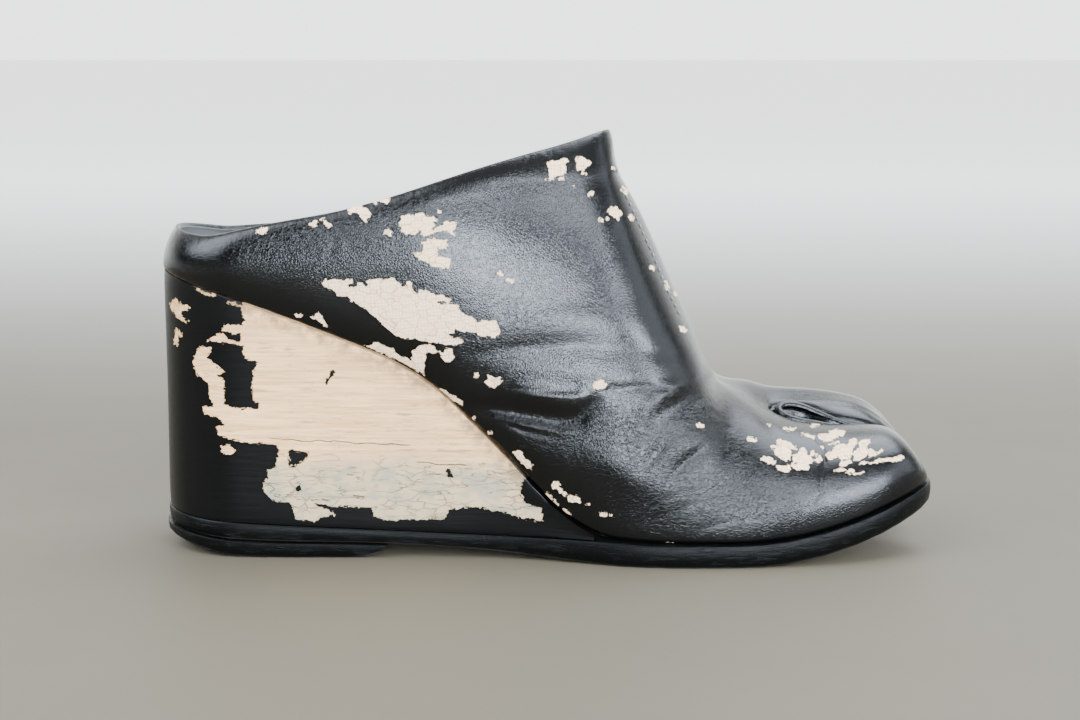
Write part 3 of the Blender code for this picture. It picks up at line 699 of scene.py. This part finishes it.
def crease_height(place):
    """Height of all the creases at points of the photograph, in millimetres."""
    height = np.zeros(len(place))
    for rise, width, line in CREASES:
        low, high = np.min(line, axis=0) - 4 * width, np.max(line, axis=0) + 4 * width
        near = np.flatnonzero(((place > low) & (place < high)).all(1))
        gap, _, reached = along_line(place[near], line)
        fade = np.sin(np.clip(reached, 0.03, 0.97) * math.pi) ** 0.5
        height[near] += rise * fade * np.exp(-((gap / width) ** 2))
    gap, over, reached = along_line(place, BAND_LINE)
    above = 1 / (1 + np.exp(np.clip(gap * over / BAND_SOFT, -30, 30)))
    near_band = np.exp(-((gap / 30) ** 2)) * np.clip((reached - 0.25) * 3, 0, 1)
    return height + BAND_RISE * (above - 0.5) * near_band


def fold_height(points, outward):
    """Height of the creases on both sides of the foot, in millimetres."""
    near = np.clip((facing(points, outward) + 0.1) / 0.3, 0, 1)
    far = np.clip((facing(mirrored(points), outward * FLIP) + 0.1) / 0.3, 0, 1)
    near_height = crease_height(photo_place(points))
    far_height = crease_height(photo_place(mirrored(points)))
    return (near_height * near + FAR_SIDE_SHARE * far_height * far) / np.maximum(near + far, 1)


print("creases", len(CREASES), "with a band", BAND_RISE, "mm high along the collar")

# %% [markdown]
# The two toes meet in a cleft. Worn shoes have them pressed together: the big toe swells against its
# neighbour and leaves only a small hole at the back of the cleft. The edge of that hole is turned over a
# cord, so a soft groove runs outside it. Both follow from where a point lies in plan and how far below
# the top of the toe it is.

# %% Cleft between the toes
CORD = [
    # x, y, z and radius in mm, from the small toes round the end of the cleft to the big toe
    (88.0, -0.3, 35.7, 0.6), (84.5, -0.3, 36.2, 0.9), (81.0, -0.4, 36.6, 1.1), (77.5, -0.3, 37.2, 1.2),
    (74.6, 0.2, 38.0, 1.25), (72.7, 1.6, 39.0, 1.3), (72.2, 3.6, 39.9, 1.3), (72.9, 5.4, 40.6, 1.3),
    (75.0, 6.3, 41.0, 1.25), (78.0, 6.3, 40.9, 1.2), (81.0, 6.1, 40.0, 1.15), (84.0, 5.7, 38.7, 1.1),
    (87.5, 5.0, 37.4, 1.0), (91.0, 3.9, 36.3, 0.8), (94.0, 3.2, 35.2, 0.6),
]
GROOVE_GAP, GROOVE_WIDTH, GROOVE_DEPTH = 2.1, 0.8, 0.8
BIG_TOE_TOP = ((70, 43.0), (92, 42.2), (96, 41.6), (100, 40.6), (106, 38.0), (112, 33.0))
SWELL = 3.0


def ease(values, low, high):
    """0 below low, 1 above high, eased between them."""
    share = np.clip((values - low) / (high - low), 0, 1)
    return share * share * (3 - 2 * share)


def groove_height(points, outward):
    """Depth of the groove outside the cord, in millimetres."""
    plan = points[:, :2] / MM
    gap, _, reached = along_line(plan, [row[:2] for row in CORD])
    upward = np.clip(outward[:, 2] / 0.5, 0, 1)
    inside = (plan[:, 0] > 72.5) & (plan[:, 1] > 0) & (plan[:, 1] < 6)
    fade = np.sin(np.clip(reached, 0.02, 0.98) * math.pi) ** 0.7
    return -GROOVE_DEPTH * fade * upward * np.exp(-(((gap - GROOVE_GAP) / GROOVE_WIDTH) ** 2)) * ~inside


def swell(points, outward):
    """How far the big toe's side swells toward the small toes, in millimetres."""
    x, y, z = (points / MM).T
    below = np.interp(x, *zip(*BIG_TOE_TOP)) - z
    side = (y > 5) & (y < 9.5) & (outward[:, 1] < 0.3)
    reach = ease(x, 79, 90) * (1 - ease(x, 106, 114)) * ease(z, 15, 23)
    return SWELL * side * reach * (1 - np.exp(-((np.maximum(below - 0.6, 0) / 2.2) ** 2)))


def fold(piece, outward):
    """Moves a piece's points by the creases, the groove and the swelling of the big toe."""
    points = points_of(piece)
    height = fold_height(points, outward) + groove_height(points, outward)
    moved = points + outward * height[:, None] * MM
    moved[:, 1] -= swell(points, outward) * MM
    set_points(piece, moved)
    print(piece.name, "moved from", height.min().round(2), "to", height.max().round(2), "mm")


fold(upper, normals_of(upper) * (2 * get_attribute(upper, "outside") - 1)[:, None])

# %% [markdown]
# Between the large creases the leather is finely wrinkled, most behind the toes, in the arch and at the
# back of the collar. These places are marked with soft spots, and the finish draws the wrinkles there.

# %% Wrinkled places
WRINKLED = [
    # middle x and y, reach along x and y, all in photograph pixels, and strength
    (690, 450, 70, 60, 1.0), (565, 432, 70, 28, 0.7), (350, 228, 62, 26, 0.9), (450, 206, 60, 18, 0.5),
    (735, 508, 75, 34, 1.0), (520, 335, 90, 40, 0.35), (260, 245, 50, 18, 0.5), (735, 400, 40, 16, 0.6),
]


def wrinkled_by(place):
    """How wrinkled the leather is at points of the photograph, from 0 to 1."""
    total = np.zeros(len(place))
    for middle_x, middle_y, reach_x, reach_y, strength in WRINKLED:
        away = (place - (middle_x, middle_y)) / (reach_x, reach_y)
        total += strength * np.exp(-(away**2).sum(1))
    return np.clip(total, 0, 1)


points = points_of(upper)
near_side = facing(points, normals_of(upper)) > 0
wrinkled = np.where(near_side, wrinkled_by(photo_place(points)), wrinkled_by(photo_place(mirrored(points))))
set_attribute(upper, "wrinkled", wrinkled)
print("wrinkled points", int((wrinkled > 0.3).sum()))

# %% [markdown]
# Two more measures go on the points: how far each lies from the raw edge at the collar, which is rubbed,
# and from the edge at the sole, where a thin tan line of raw leather shows.


# %% Distance to the raw edges
def gap_to(points, goals):
    """Distance from each point to the nearest of the goals, in millimetres."""
    tree = KDTree(len(goals))
    for i, goal in enumerate(goals):
        tree.insert(goal, i)
    tree.balance()
    return np.array([tree.find(point)[2] for point in points]) / MM


points = points_of(upper)
for name, goals in raw_edge.items():
    set_attribute(upper, name + "_gap", gap_to(points, goals))
    print(name, "edge points", len(goals))

# %% [markdown]
# The finish of the upper is in layers. The base is a pale split leather with a faint weave and hairline
# cracks. The coat over it is nearly black, satin, with a fine pebbled grain and wrinkles where they are
# marked. It is puckered and rubbed at the collar, and a raw tan line shows at the sole. The mark of the
# flakes, roughened by noise, says which layer shows, and lifts the coat a tenth of a millimetre above the
# base.

# %% Finish of the upper
upper_finish, shader, place = start_finish("flaked_black_leather", Specular_IOR_Level=0.36)
jagged = (place.blocks(0.9 * MM) - 0.5) * 0.75 + (place.blocks(0.45 * MM) - 0.5) * 0.35
shows = (attribute(place, "bare") + jagged).step(-0.04, 0.04)
pebbles = place.cells(0.75 * MM).step(0.0, 0.35)
pores = place.noise(0.35 * MM, 2)
waves = place.noise(5 * MM, 3, 0.5, stretch=(0.6, 1, 1.6))
wandering = place.warp(1.2 * MM, 3 * MM)
wrinkles = wandering.veins(3.4 * MM, 0.08) * 0.7 + wandering.veins(1.5 * MM, 0.13)
wrinkles = wrinkles + place.veins(0.7 * MM, 0.22) * 0.4
wrinkles = wrinkles * (attribute(place, "wrinkled") * 0.9 + 0.1)
near_collar = 1 - attribute(place, "collar_gap").step(1.5, 9)
puckers = place.noise(1.6 * MM, 2, 0.5, stretch=(1, 0.4, 0.3)) * near_collar
tilted = place.node("ShaderNodeMapping", None, {"Vector": place, "Rotation": (0, 0.09, 0)})
thread = {"Vector": tilted, "Scale": 314.0, "Distortion": 0.6}
threads = [place.node("ShaderNodeTexWave", {"bands_direction": way}, thread) for way in ("X", "Z")]
weave = threads[0].math("MAXIMUM", threads[1]).step(0.82, 1.0)
hairline = 1 - place.warp(0.6 * MM, 2 * MM).cells(2.8 * MM, stretch=(0.8, 1, 1.2)).step(0.01, 0.05)
stain = place.noise(6 * MM, 3)
base_tint = stain.blend(colour(0.88, 0.59, 0.34), colour(0.98, 0.74, 0.48))
base_tint = (hairline * 0.55).blend(base_tint, colour(0.30, 0.17, 0.10))
base_tint = (weave * 0.4).blend(base_tint, colour(0.46, 0.29, 0.17))
coat_tint = place.noise(14 * MM, 3).blend(colour(0.0008, 0.0009, 0.0009), colour(0.0016, 0.0018, 0.0017))
rubbed = 1 - (attribute(place, "collar_gap") + (place.noise(2 * MM) - 0.5) * 1.4).step(0.25, 1.2)
coat_tint = (rubbed * 0.45).blend(coat_tint, colour(0.05, 0.047, 0.044))
raw = 1 - (attribute(place, "feather_gap") + (place.noise(3 * MM) - 0.5) * 0.5).step(0.35, 0.75)
behind_toes = 1 - place.part("X").step(0 * MM, 25 * MM)
coat_tint = (raw * behind_toes * 0.8).blend(coat_tint, colour(0.14, 0.075, 0.04))
satin = 0.14 + pores * 0.06 + (place.noise(20 * MM, 2) - 0.5) * 0.10 + rubbed * 0.25
coat_relief = pebbles * 0.000022 + pores * 0.00001 + waves * 0.00006 - wrinkles * 0.00005
coat_relief = coat_relief + puckers * 0.00015
relief = (
    coat_relief * (1 - shows)
    + (1 - shows) * 0.00012
    - (hairline * 0.00006 + weave * 0.00002) * shows
)
feed(
    shader,
    Base_Color=shows.blend(coat_tint, base_tint),
    Roughness=satin * (1 - shows) + shows * 0.75,
    Normal=relief.bump(1.0, 1.0),
)
upper.data.materials[OUTSIDE_SLOT] = upper_finish
print("upper finish nodes", len(upper_finish.node_tree.nodes))

# %% [markdown]
# The cord is a curve with a round section that thins toward its ends. It is turned into a mesh, gets the
# finish of the upper, and carries the same marks on its points, so that the finish knows that no flake or
# edge is near.

# %% Cord of the cleft
bpy.ops.object.select_all(action="DESELECT")
bpy.ops.curve.primitive_nurbs_path_add()
cord = bpy.context.object
cord.name = "cleft_cord"
path = cord.data.splines[0]
path.points.add(len(CORD) - len(path.points))
for point, (x, y, z, radius) in zip(path.points, CORD):
    point.co = (x * MM, y * MM, z * MM, 1)
    point.radius = radius
path.order_u = 4
path.use_endpoint_u = True
cord.data.resolution_u = 6
cord.data.bevel_depth = MM
cord.data.bevel_resolution = 4
cord.data.use_fill_caps = True
bpy.ops.object.convert(target="MESH")
edit(cord)
bpy.ops.mesh.select_all(action="SELECT")
bpy.ops.mesh.normals_make_consistent(inside=False)
bpy.ops.object.mode_set(mode="OBJECT")
for name, value in (("bare", -5), ("wrinkled", 0.2), ("collar_gap", 50), ("feather_gap", 50)):
    set_attribute(cord, name, np.full(len(cord.data.vertices), value))
cord.data.materials.append(upper_finish)
bpy.ops.object.shade_smooth()
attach(cord, "root")
report(cord)

# %% [markdown]
# The lining is a soft grey leather with a short nap. The camera sees only its upper edge, at the heel,
# but the whole inside shows from above and from behind.

# %% Lining
lining_finish, shader, place = start_finish("soft_grey_lining", Specular_IOR_Level=0.2)
nap = place.noise(0.5 * MM, 3)
feed(
    shader,
    Base_Color=place.noise(9 * MM, 3).blend(colour(0.13, 0.134, 0.134), colour(0.21, 0.214, 0.212)),
    Roughness=0.7 + nap * 0.2,
    Normal=(nap * 0.00004).bump(1.0, 1.0),
)
upper.data.materials[LINING_SLOT] = lining_finish


def place_piece(piece, node):
    """Smooths a finished piece and lets it stand for its solid."""
    bpy.ops.object.select_all(action="DESELECT")
    bpy.context.view_layer.objects.active = piece
    piece.select_set(True)
    bpy.ops.object.shade_smooth_by_angle(angle=SHARP)
    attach(piece, "root")
    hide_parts(node)
    report(piece)


place_piece(upper, "upper")

# %% [markdown]
# The wedge is a carved block with a painted black coat. Most of the outer side has lost its paint and
# shows cream base with a fine level grain, long cracks and grey stains. Its outline is drawn like the
# flakes, with the islands of paint that are left inside it.

# %% Wedge: bare area
WEDGE_BARE = [
    (241, 306), (252, 290), (330, 314), (400, 352), (450, 392), (490, 434), (531, 472), (523, 480),
    (521, 494), (525, 504), (542, 508), (543, 521), (535, 521), (533, 517), (525, 519), (505, 513),
    (480, 507), (462, 507), (449, 509), (445, 520), (405, 519), (398, 521), (382, 519), (374, 516),
    (371, 508), (339, 506), (331, 507), (312, 503), (327, 508), (335, 513), (333, 516), (325, 516),
    (318, 521), (297, 519), (293, 509), (289, 503), (272, 500), (265, 493), (262, 482), (267, 480),
    (268, 469), (276, 467), (279, 448), (274, 444), (243, 442), (219, 436), (216, 427), (224, 425),
    (219, 417), (205, 415), (203, 407), (213, 406), (210, 398), (208, 383), (198, 375), (193, 362),
    (194, 358), (197, 349), (203, 345), (211, 347), (212, 353), (206, 357), (213, 362), (224, 372),
    (217, 375), (224, 381), (225, 395), (224, 404), (236, 408), (258, 409), (260, 404), (254, 401),
    (252, 385), (253, 370), (257, 366), (255.7, 360.6), (244, 358.4), (242, 352.6), (244, 346),
    (225, 343), (208.3, 340.2), (216.3, 334.3), (221.4, 333.6), (223.6, 325), (230, 324.4),
    (236.8, 325.4), (242.6, 325), (244.8, 322), (242.6, 314.6),
]
WEDGE_ISLANDS = [
    [(223.6, 332), (229, 331.4), (233, 333.6), (240.4, 333), (241, 338), (238, 341.8), (233.8, 341),
     (226.5, 338.8)],
    [(289, 450), (309, 452), (306, 459), (293, 468), (289, 465)],
    [(295, 491), (299, 485), (302, 487), (300, 493)],
    [(445, 470), (450, 468), (453, 478), (448, 476)],
    [(324, 384), (333, 370), (335, 372), (327, 384)],
]
WEDGE_FLAKES = [
    [(170.3, 301), (173, 300), (177, 298.6), (179, 302), (182, 304.4), (186, 305), (189.3, 307.3),
     (189, 309.5), (182.7, 311), (182, 317.6), (188.6, 321), (187, 323.4), (179.8, 319.7), (174, 313.2),
     (171, 308.8)],
    [(175.4, 327.8), (179, 330), (182, 333), (181, 336.5), (178.4, 336.5), (177.6, 345.3), (174, 344.6),
     (174.7, 336.5)],
    [(220, 446), (230, 445), (235, 450), (231, 455), (222, 453)],
    [(195, 287), (205, 291.4), (214.5, 294.4), (213.5, 296.6), (204, 293.6), (195.5, 289.4)],
    [(227, 300.5), (241, 304.4), (242, 307), (240.5, 307), (227, 302.6)],
]
FAR_SIDE_WEAR = [
    [(230, 330), (262, 322), (300, 338), (322, 352), (318, 368), (296, 362), (284, 378), (258, 372),
     (246, 350)],
    [(360, 430), (396, 424), (420, 440), (452, 452), (440, 470), (404, 462), (372, 468), (352, 450)],
    [(190, 430), (204, 424), (210, 446), (200, 470), (188, 462)],
    [(300, 470), (322, 466), (330, 482), (310, 492)],
]
WEDGE_EDGE_REACHES = (1.6, 0.9)

wedge = copy_of("wedge", "wedge_block")
edit(wedge)
bpy.ops.mesh.select_mode(type="EDGE")
bpy.ops.mesh.select_all(action="DESELECT")
bpy.ops.mesh.edges_select_sharp(sharpness=math.radians(35))
bpy.ops.transform.edge_crease(value=1)
bpy.ops.object.mode_set(mode="OBJECT")
refine(wedge, 3)
report(wedge)
far_wear = [torn(outline, draw) for outline in FAR_SIDE_WEAR]


def mark_wedge(piece):
    """Writes how deep inside the bare places each point of the wedge lies, in millimetres."""
    points, normals = points_of(piece), normals_of(piece)
    seen = photo_place(points)
    depth = flaked_by(seen, [WEDGE_BARE, *WEDGE_FLAKES])
    depth = np.minimum(depth, -flaked_by(seen, WEDGE_ISLANDS))
    depth[facing(points, normals) < 0.02] = -FLAKE_REACH
    back = mirrored(points)
    far_depth = flaked_by(photo_place(back), far_wear)
    far_depth[facing(back, normals * FLIP) < 0.1] = -FLAKE_REACH
    depth = np.maximum(depth, far_depth) / PIXELS_PER_MM
    set_attribute(piece, "bare", depth)
    return depth


for reach in WEDGE_EDGE_REACHES:
    refine_edges(wedge, mark_wedge(wedge), reach)
    report(wedge)
bare = mark_wedge(wedge)
set_attribute(wedge, "under_edge", gap_to(points_of(wedge), raw_edge["feather"]))
print("bare share of the wedge's points", (bare > 0).mean().round(2))

# %% [markdown]
# The cream base has a grain that runs level, drawn by noise stretched along the block, and level cracks
# that follow the same stretch. Low down it is stained grey-green and finely crazed, and painted shade,
# broken up by noise, lies under the edge of the upper. Two long cracks are placed at the height and slope
# the photograph shows.

# %% Finish of the wedge
LONG_CRACKS = [
    # start x, end x, height at the start, rise over its length, all in mm
    (-83.6, -40.0, 36.4, -2.0),
    (-40.0, -23.0, 29.6, -1.3),
]

wedge_finish, shader, place = start_finish("flaked_black_paint", Specular_IOR_Level=0.18)
along, height = place.part("X"), place.part("Z")
jagged = (place.blocks(1.1 * MM, stretch=(0.8, 1, 1.5)) - 0.5) + (place.blocks(0.5 * MM) - 0.5) * 0.5
jagged = jagged + (place.noise(0.7 * MM, 3) - 0.5) * 0.4
shows = (attribute(place, "bare") + jagged).step(-0.04, 0.04)
grain = place.noise(1.1 * MM, 4, 0.6, stretch=(0.045, 0.3, 1))
fine_grain = place.noise(0.5 * MM, 2, 0.5, stretch=(0.06, 0.3, 1))
low = 1 - (height + (place.noise(8 * MM, 2) - 0.5) * 6 * MM).step(25 * MM, 34 * MM)
blotches = place.noise(5 * MM, 4, 0.6, stretch=(0.7, 1, 1.1)).step(0.44, 0.62)
# Painted shade: a darkening of the bare base just under the edge of the upper, broken up by noise.
painted_shade_under_upper = (1 - attribute(place, "under_edge").step(0.2, 6.5)) * place.noise(3.5 * MM, 4, 0.6).step(0.3, 0.65)
level = place.warp(0.9 * MM, 3 * MM)
level = level.node("ShaderNodeMapping", None, {"Vector": level, "Scale": (0.16, 0.5, 1)})
split = level.veins(2.6 * MM, 0.026) * place.noise(5 * MM, 2).step(0.42, 0.56) * (0.3 + low * 0.7)
crazed = 1 - place.warp(1.5 * MM, 2.5 * MM).cells(2.6 * MM, stretch=(0.38, 0.5, 1.1)).step(0.006, 0.05)
split = split.math("MAXIMUM", crazed * low * place.noise(6 * MM, 2).step(0.44, 0.62) * 0.6)
strokes = place.noise(1.4 * MM, 2, 0.5, stretch=(0.12, 0.5, 1)).step(0.62, 0.72)
for first, last, start, rise in LONG_CRACKS:
    wander = (place.noise(6 * MM, 4) - 0.5) * 2.4 * MM
    path = (along - first * MM) * (rise / (last - first)) + start * MM + wander
    line = 1 - (height - path).math("ABSOLUTE").step(0.07 * MM, 0.22 * MM)
    reach = along.step(first * MM, (first + 2) * MM) * (1 - along.step((last - 2) * MM, last * MM))
    split = split.math("MAXIMUM", line * reach)
clouds = place.noise(16 * MM, 3, stretch=(0.5, 1, 1)).step(0.45, 0.7)
base_tint = grain.step(0.3, 0.7).blend(colour(0.66, 0.37, 0.16), colour(0.97, 0.60, 0.29))
base_tint = (clouds * 0.4).blend(base_tint, colour(0.58, 0.35, 0.18))
base_tint = (low * 0.85).blend(base_tint, colour(0.45, 0.355, 0.215))
base_tint = (blotches * low * 0.75).blend(base_tint, colour(0.28, 0.28, 0.20))
base_tint = (fine_grain.step(0.52, 0.75) * 0.35).blend(base_tint, colour(0.48, 0.34, 0.23))
base_tint = (strokes * 0.55).blend(base_tint, colour(0.22, 0.16, 0.11))
# The painted shade under the upper's edge turns the bare base dark brown there.
base_tint = (painted_shade_under_upper * 0.8).blend(base_tint, colour(0.13, 0.085, 0.05))
base_tint = (split * 0.88).blend(base_tint, colour(0.06, 0.042, 0.03))
coat_tint = place.noise(12 * MM, 3).blend(colour(0.0011, 0.0012, 0.0011), colour(0.0022, 0.0024, 0.0022))
relief = (
    (1 - shows) * 0.00022
    + grain * 0.00007
    + fine_grain * 0.00003
    - split * shows * 0.00018
)
feed(
    shader,
    Base_Color=shows.blend(coat_tint, base_tint),
    Roughness=(1 - shows) * (0.26 + grain * 0.12) + shows * (0.62 + grain * 0.15),
    Normal=relief.bump(1.0, 1.0),
)
wedge.data.materials.append(wedge_finish)
place_piece(wedge, "wedge")

# %% [markdown]
# The outsole and the rubber heel lift are thin and black, with rounded edges. Walking has scuffed them at
# random and worn the treads grey. The insole is pressed black leather, rounded as the upper is.

# %% Outsole, heel lift and insole
SOLE_EDGE = 0.35 * MM


def rounded_copy(node, name, width):
    """A merged copy with its sharp edges rounded."""
    piece = copy_of(node, name)
    bevel = piece.modifiers.new("round", "BEVEL")
    bevel.width = width
    bevel.segments = 3
    bevel.limit_method = "ANGLE"
    bevel.angle_limit = math.radians(40)
    bpy.context.view_layer.objects.active = piece
    bpy.ops.object.modifier_apply(modifier="round")
    return piece


def worn_black(name, tone, scuff_tone, roughness, tread_tone):
    """Black that is worn grey underneath and scuffed at random."""
    material, shader, place = start_finish(name, Specular_IOR_Level=0.10)
    upward = place.node("ShaderNodeNewGeometry", out="Normal").part("Z")
    tread = 1 - upward.step(-0.9, -0.5)
    scuffs = place.noise(1.6 * MM, 4, 0.65, stretch=(0.25, 0.6, 1.4)).step(0.5, 0.75)
    tint = (scuffs * 0.5).blend(tone, scuff_tone)
    tint = (tread * (0.45 + scuffs * 0.5)).blend(tint, tread_tone)
    fine = place.noise(0.4 * MM, 3)
    feed(
        shader,
        Base_Color=tint,
        Roughness=roughness + scuffs * 0.2 + tread * 0.2,
        Normal=(fine * 0.00010 - scuffs * 0.00012).bump(1.0, 1.0),
    )
    return material


SOLE_BLACK, SOLE_SCUFF = colour(0.0018, 0.002, 0.0018), colour(0.007, 0.0075, 0.0068)
outsole = rounded_copy("outsole", "outsole_leather", SOLE_EDGE)
outsole.data.materials.append(
    worn_black("waxed_sole_edge", SOLE_BLACK, SOLE_SCUFF, 0.34, colour(0.10, 0.09, 0.08))
)
place_piece(outsole, "outsole")
heel_lift = rounded_copy("heel_lift", "heel_lift_rubber", SOLE_EDGE)
heel_lift.data.materials.append(
    worn_black("worn_rubber", SOLE_BLACK, SOLE_SCUFF, 0.38, colour(0.07, 0.068, 0.065))
)
place_piece(heel_lift, "heel_lift")

insole = copy_of("insole", "insole_leather")
refine(insole, 2)
insole_finish, shader, place = start_finish("insole_black_leather", Specular_IOR_Level=0.4)
pressed = place.noise(18 * MM, 3).step(0.4, 0.7)
grain = place.cells(0.8 * MM).step(0.0, 0.4)
feed(
    shader,
    Base_Color=pressed.blend(colour(0.016, 0.0155, 0.015), colour(0.035, 0.032, 0.029)),
    Roughness=0.62 - pressed * 0.16,
    Normal=(grain * 0.00005).bump(1.0, 1.0),
)
insole.data.materials.append(insole_finish)
place_piece(insole, "insole")

# %% [markdown]
# A row of stitches runs beside the front seam, on both sides. One stitch is modelled as a short rounded
# thread and copied along the row; each copy is turned to follow the row and lies half sunk in the
# leather.

# %% Stitches of the front seam
STITCH_ROW = [
    (623, 190), (630, 204), (637.5, 220), (644, 235), (652.5, 253), (661, 275), (670, 295), (681, 317),
]
STITCH_PITCH = 2.4 * MM
STITCH_LENGTH, STITCH_WIDTH = 1.25 * MM, 0.62 * MM

bpy.ops.object.select_all(action="DESELECT")
bpy.ops.mesh.primitive_cylinder_add(vertices=8, radius=STITCH_WIDTH / 2, depth=STITCH_LENGTH * 0.6)
stitch = bpy.context.object
bpy.ops.object.mode_set(mode="EDIT")
bpy.ops.mesh.select_mode(type="FACE")
bpy.ops.mesh.select_all(action="DESELECT")
shape = bmesh.from_edit_mesh(stitch.data)
for face in shape.faces:
    face.select = abs(face.normal.z) > 0.9
bmesh.update_edit_mesh(stitch.data)
bpy.ops.mesh.inset(thickness=STITCH_WIDTH * 0.16)
for face in shape.faces:
    if face.select:
        bmesh.ops.translate(shape, verts=face.verts, vec=face.normal * STITCH_LENGTH * 0.2)
bmesh.update_edit_mesh(stitch.data)
bpy.ops.object.mode_set(mode="OBJECT")
leather = BVHTree.FromObject(upper, bpy.context.evaluated_depsgraph_get())


def stitch_row(flip):
    """Evenly spaced places, directions and normals along the row on one side."""
    eye = Vector(mirrored(EYE[None])[0] if flip else EYE)
    found = []
    corners = np.asarray(STITCH_ROW, float)
    reach = np.concatenate(([0], np.cumsum(np.linalg.norm(np.diff(corners, axis=0), axis=1))))
    for along in np.linspace(0, reach[-1], 200):
        ray = sight_line(np.interp(along, reach, corners[:, 0]), np.interp(along, reach, corners[:, 1]))
        if flip:
            ray.y = -ray.y
        hit, normal, _, _ = leather.ray_cast(eye, ray)
        if hit is not None:
            found.append((hit, normal))
    gaps = [0] + [(b[0] - a[0]).length for a, b in zip(found, found[1:])]
    total = np.cumsum(gaps)
    picks = [int(np.searchsorted(total, goal)) for goal in np.arange(0, total[-1], STITCH_PITCH)]
    row = []
    for i in picks:
        direction = found[min(i + 2, len(found) - 1)][0] - found[max(i - 2, 0)][0]
        row.append((found[i][0], direction, found[i][1]))
    return row


stitches = []
for flip in (False, True):
    for spot, direction, normal in stitch_row(flip):
        copy = bpy.data.objects.new("stitch", stitch.data.copy())
        bpy.context.scene.collection.objects.link(copy)
        copy.rotation_mode = "QUATERNION"
        copy.rotation_quaternion = direction.to_track_quat("Z", "Y")
        copy.location = spot + normal * STITCH_WIDTH * 0.1
        stitches.append(copy)
bpy.data.objects.remove(stitch)
bpy.ops.object.select_all(action="DESELECT")
for copy in stitches:
    copy.select_set(True)
bpy.context.view_layer.objects.active = stitches[0]
bpy.ops.object.join()
bpy.ops.object.transform_apply(location=True, rotation=True, scale=True)
front_stitches = bpy.context.object
front_stitches.name = "front_seam_stitches"
thread_finish, shader, place = start_finish("waxed_thread", Specular_IOR_Level=0.4)
twist = place.noise(0.3 * MM, 2)
feed(
    shader,
    Base_Color=twist.blend(colour(0.10, 0.102, 0.104), colour(0.22, 0.224, 0.228)),
    Roughness=0.45 + twist * 0.2,
)
front_stitches.data.materials.append(thread_finish)
bpy.ops.object.shade_smooth()
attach(front_stitches, "root")
print("stitches", len(stitches))
report(front_stitches)

# %% [markdown]
# The shoe stands on a plain pale floor that turns to white further off, as a studio sweep does. A low
# window behind the photographer, a pane above it and a lit wall on the right give the leather its gleams.
# A weak light on the right, a window on the left and a light above and behind fill the shadows. The room
# is bright behind the shoe and dim before it, with a pale horizon, so black leather stays black.

# %% Floor and light
FLOOR_SIZE = 60.0
bpy.ops.object.select_all(action="DESELECT")
bpy.ops.mesh.primitive_plane_add(size=FLOOR_SIZE, location=(0, 0, 0))
floor = bpy.context.object
floor.name = "studio_floor"
floor_finish, shader, place = start_finish("pale_floor", Specular_IOR_Level=0.3, Emission_Strength=0.75)
away = place.node("ShaderNodeVectorMath", {"operation": "LENGTH"}, {"Vector": place}, out="Value")
far_off = place.part("Y").step(0.15, 1.9).math("MAXIMUM", away.step(1.3, 3.0))
near_tint = place.noise(0.3, 3).blend(colour(0.095, 0.080, 0.053), colour(0.109, 0.092, 0.062))
feed(
    shader,
    Base_Color=far_off.blend(near_tint, colour(0.62, 0.62, 0.61)),
    Emission_Color=far_off.blend(colour(0, 0, 0), colour(1.9, 1.97, 1.94)),
    Roughness=place.noise(0.05, 2) * 0.1 + 0.6,
)
floor.data.materials.append(floor_finish)

LIGHTS = [
    # name, degrees to the right of the camera's line, degrees up, distance, width, height, power
    ("window", 5, 12, 1.9, 0.62, 0.66, 49.0),
    ("high_window", 25, 38, 1.9, 0.90, 0.45, 22.0),
    ("right_wall", 42, 15, 1.9, 0.90, 0.64, 54.0),
    ("right_side", 78, 22, 1.9, 1.5, 0.9, 14.0),
    ("left_window", -68, 42, 1.5, 1.2, 1.2, 46.0),
    ("top", 130, 64, 1.3, 1.0, 1.0, 30.0),
]
MIDDLE = Vector((0, 0, 50 * MM))
DAYLIGHT = (0.88, 0.98, 1.11)
for name, aside, up, distance, width, tall, power in LIGHTS:
    aside, up = math.radians(aside), math.radians(up)
    toward = Vector((math.sin(aside) * math.cos(up), -math.cos(aside) * math.cos(up), math.sin(up)))
    bpy.ops.object.light_add(type="AREA", location=MIDDLE + toward * distance)
    lamp = bpy.context.object
    lamp.name = name
    lamp.data.shape = "RECTANGLE"
    lamp.data.size, lamp.data.size_y = width, tall
    lamp.data.energy = power
    lamp.data.color = DAYLIGHT
    lamp.rotation_euler = (-toward).to_track_quat("-Z", "Y").to_euler()
world = bpy.data.worlds.new("studio")
world.use_nodes = True
room = Value(world.node_tree)
toward = room.node("ShaderNodeTexCoord", out="Generated")
behind = toward.part("Y").step(0.2, 0.85)
upward = toward.part("Z")
horizon = 1 - upward.math("ABSOLUTE").step(0.03, 0.10)
dim_walls = horizon.blend(colour(0.07, 0.075, 0.08), colour(1.1, 1.15, 1.15))
walls = behind.blend(dim_walls, colour(2.7, 2.82, 2.80))
glow = world.node_tree.nodes["Background"]
feed(glow, Color=upward.step(0.4, 0.85).blend(walls, colour(0.9, 0.94, 0.96)))
bpy.context.scene.world = world
print("lights", len(LIGHTS))
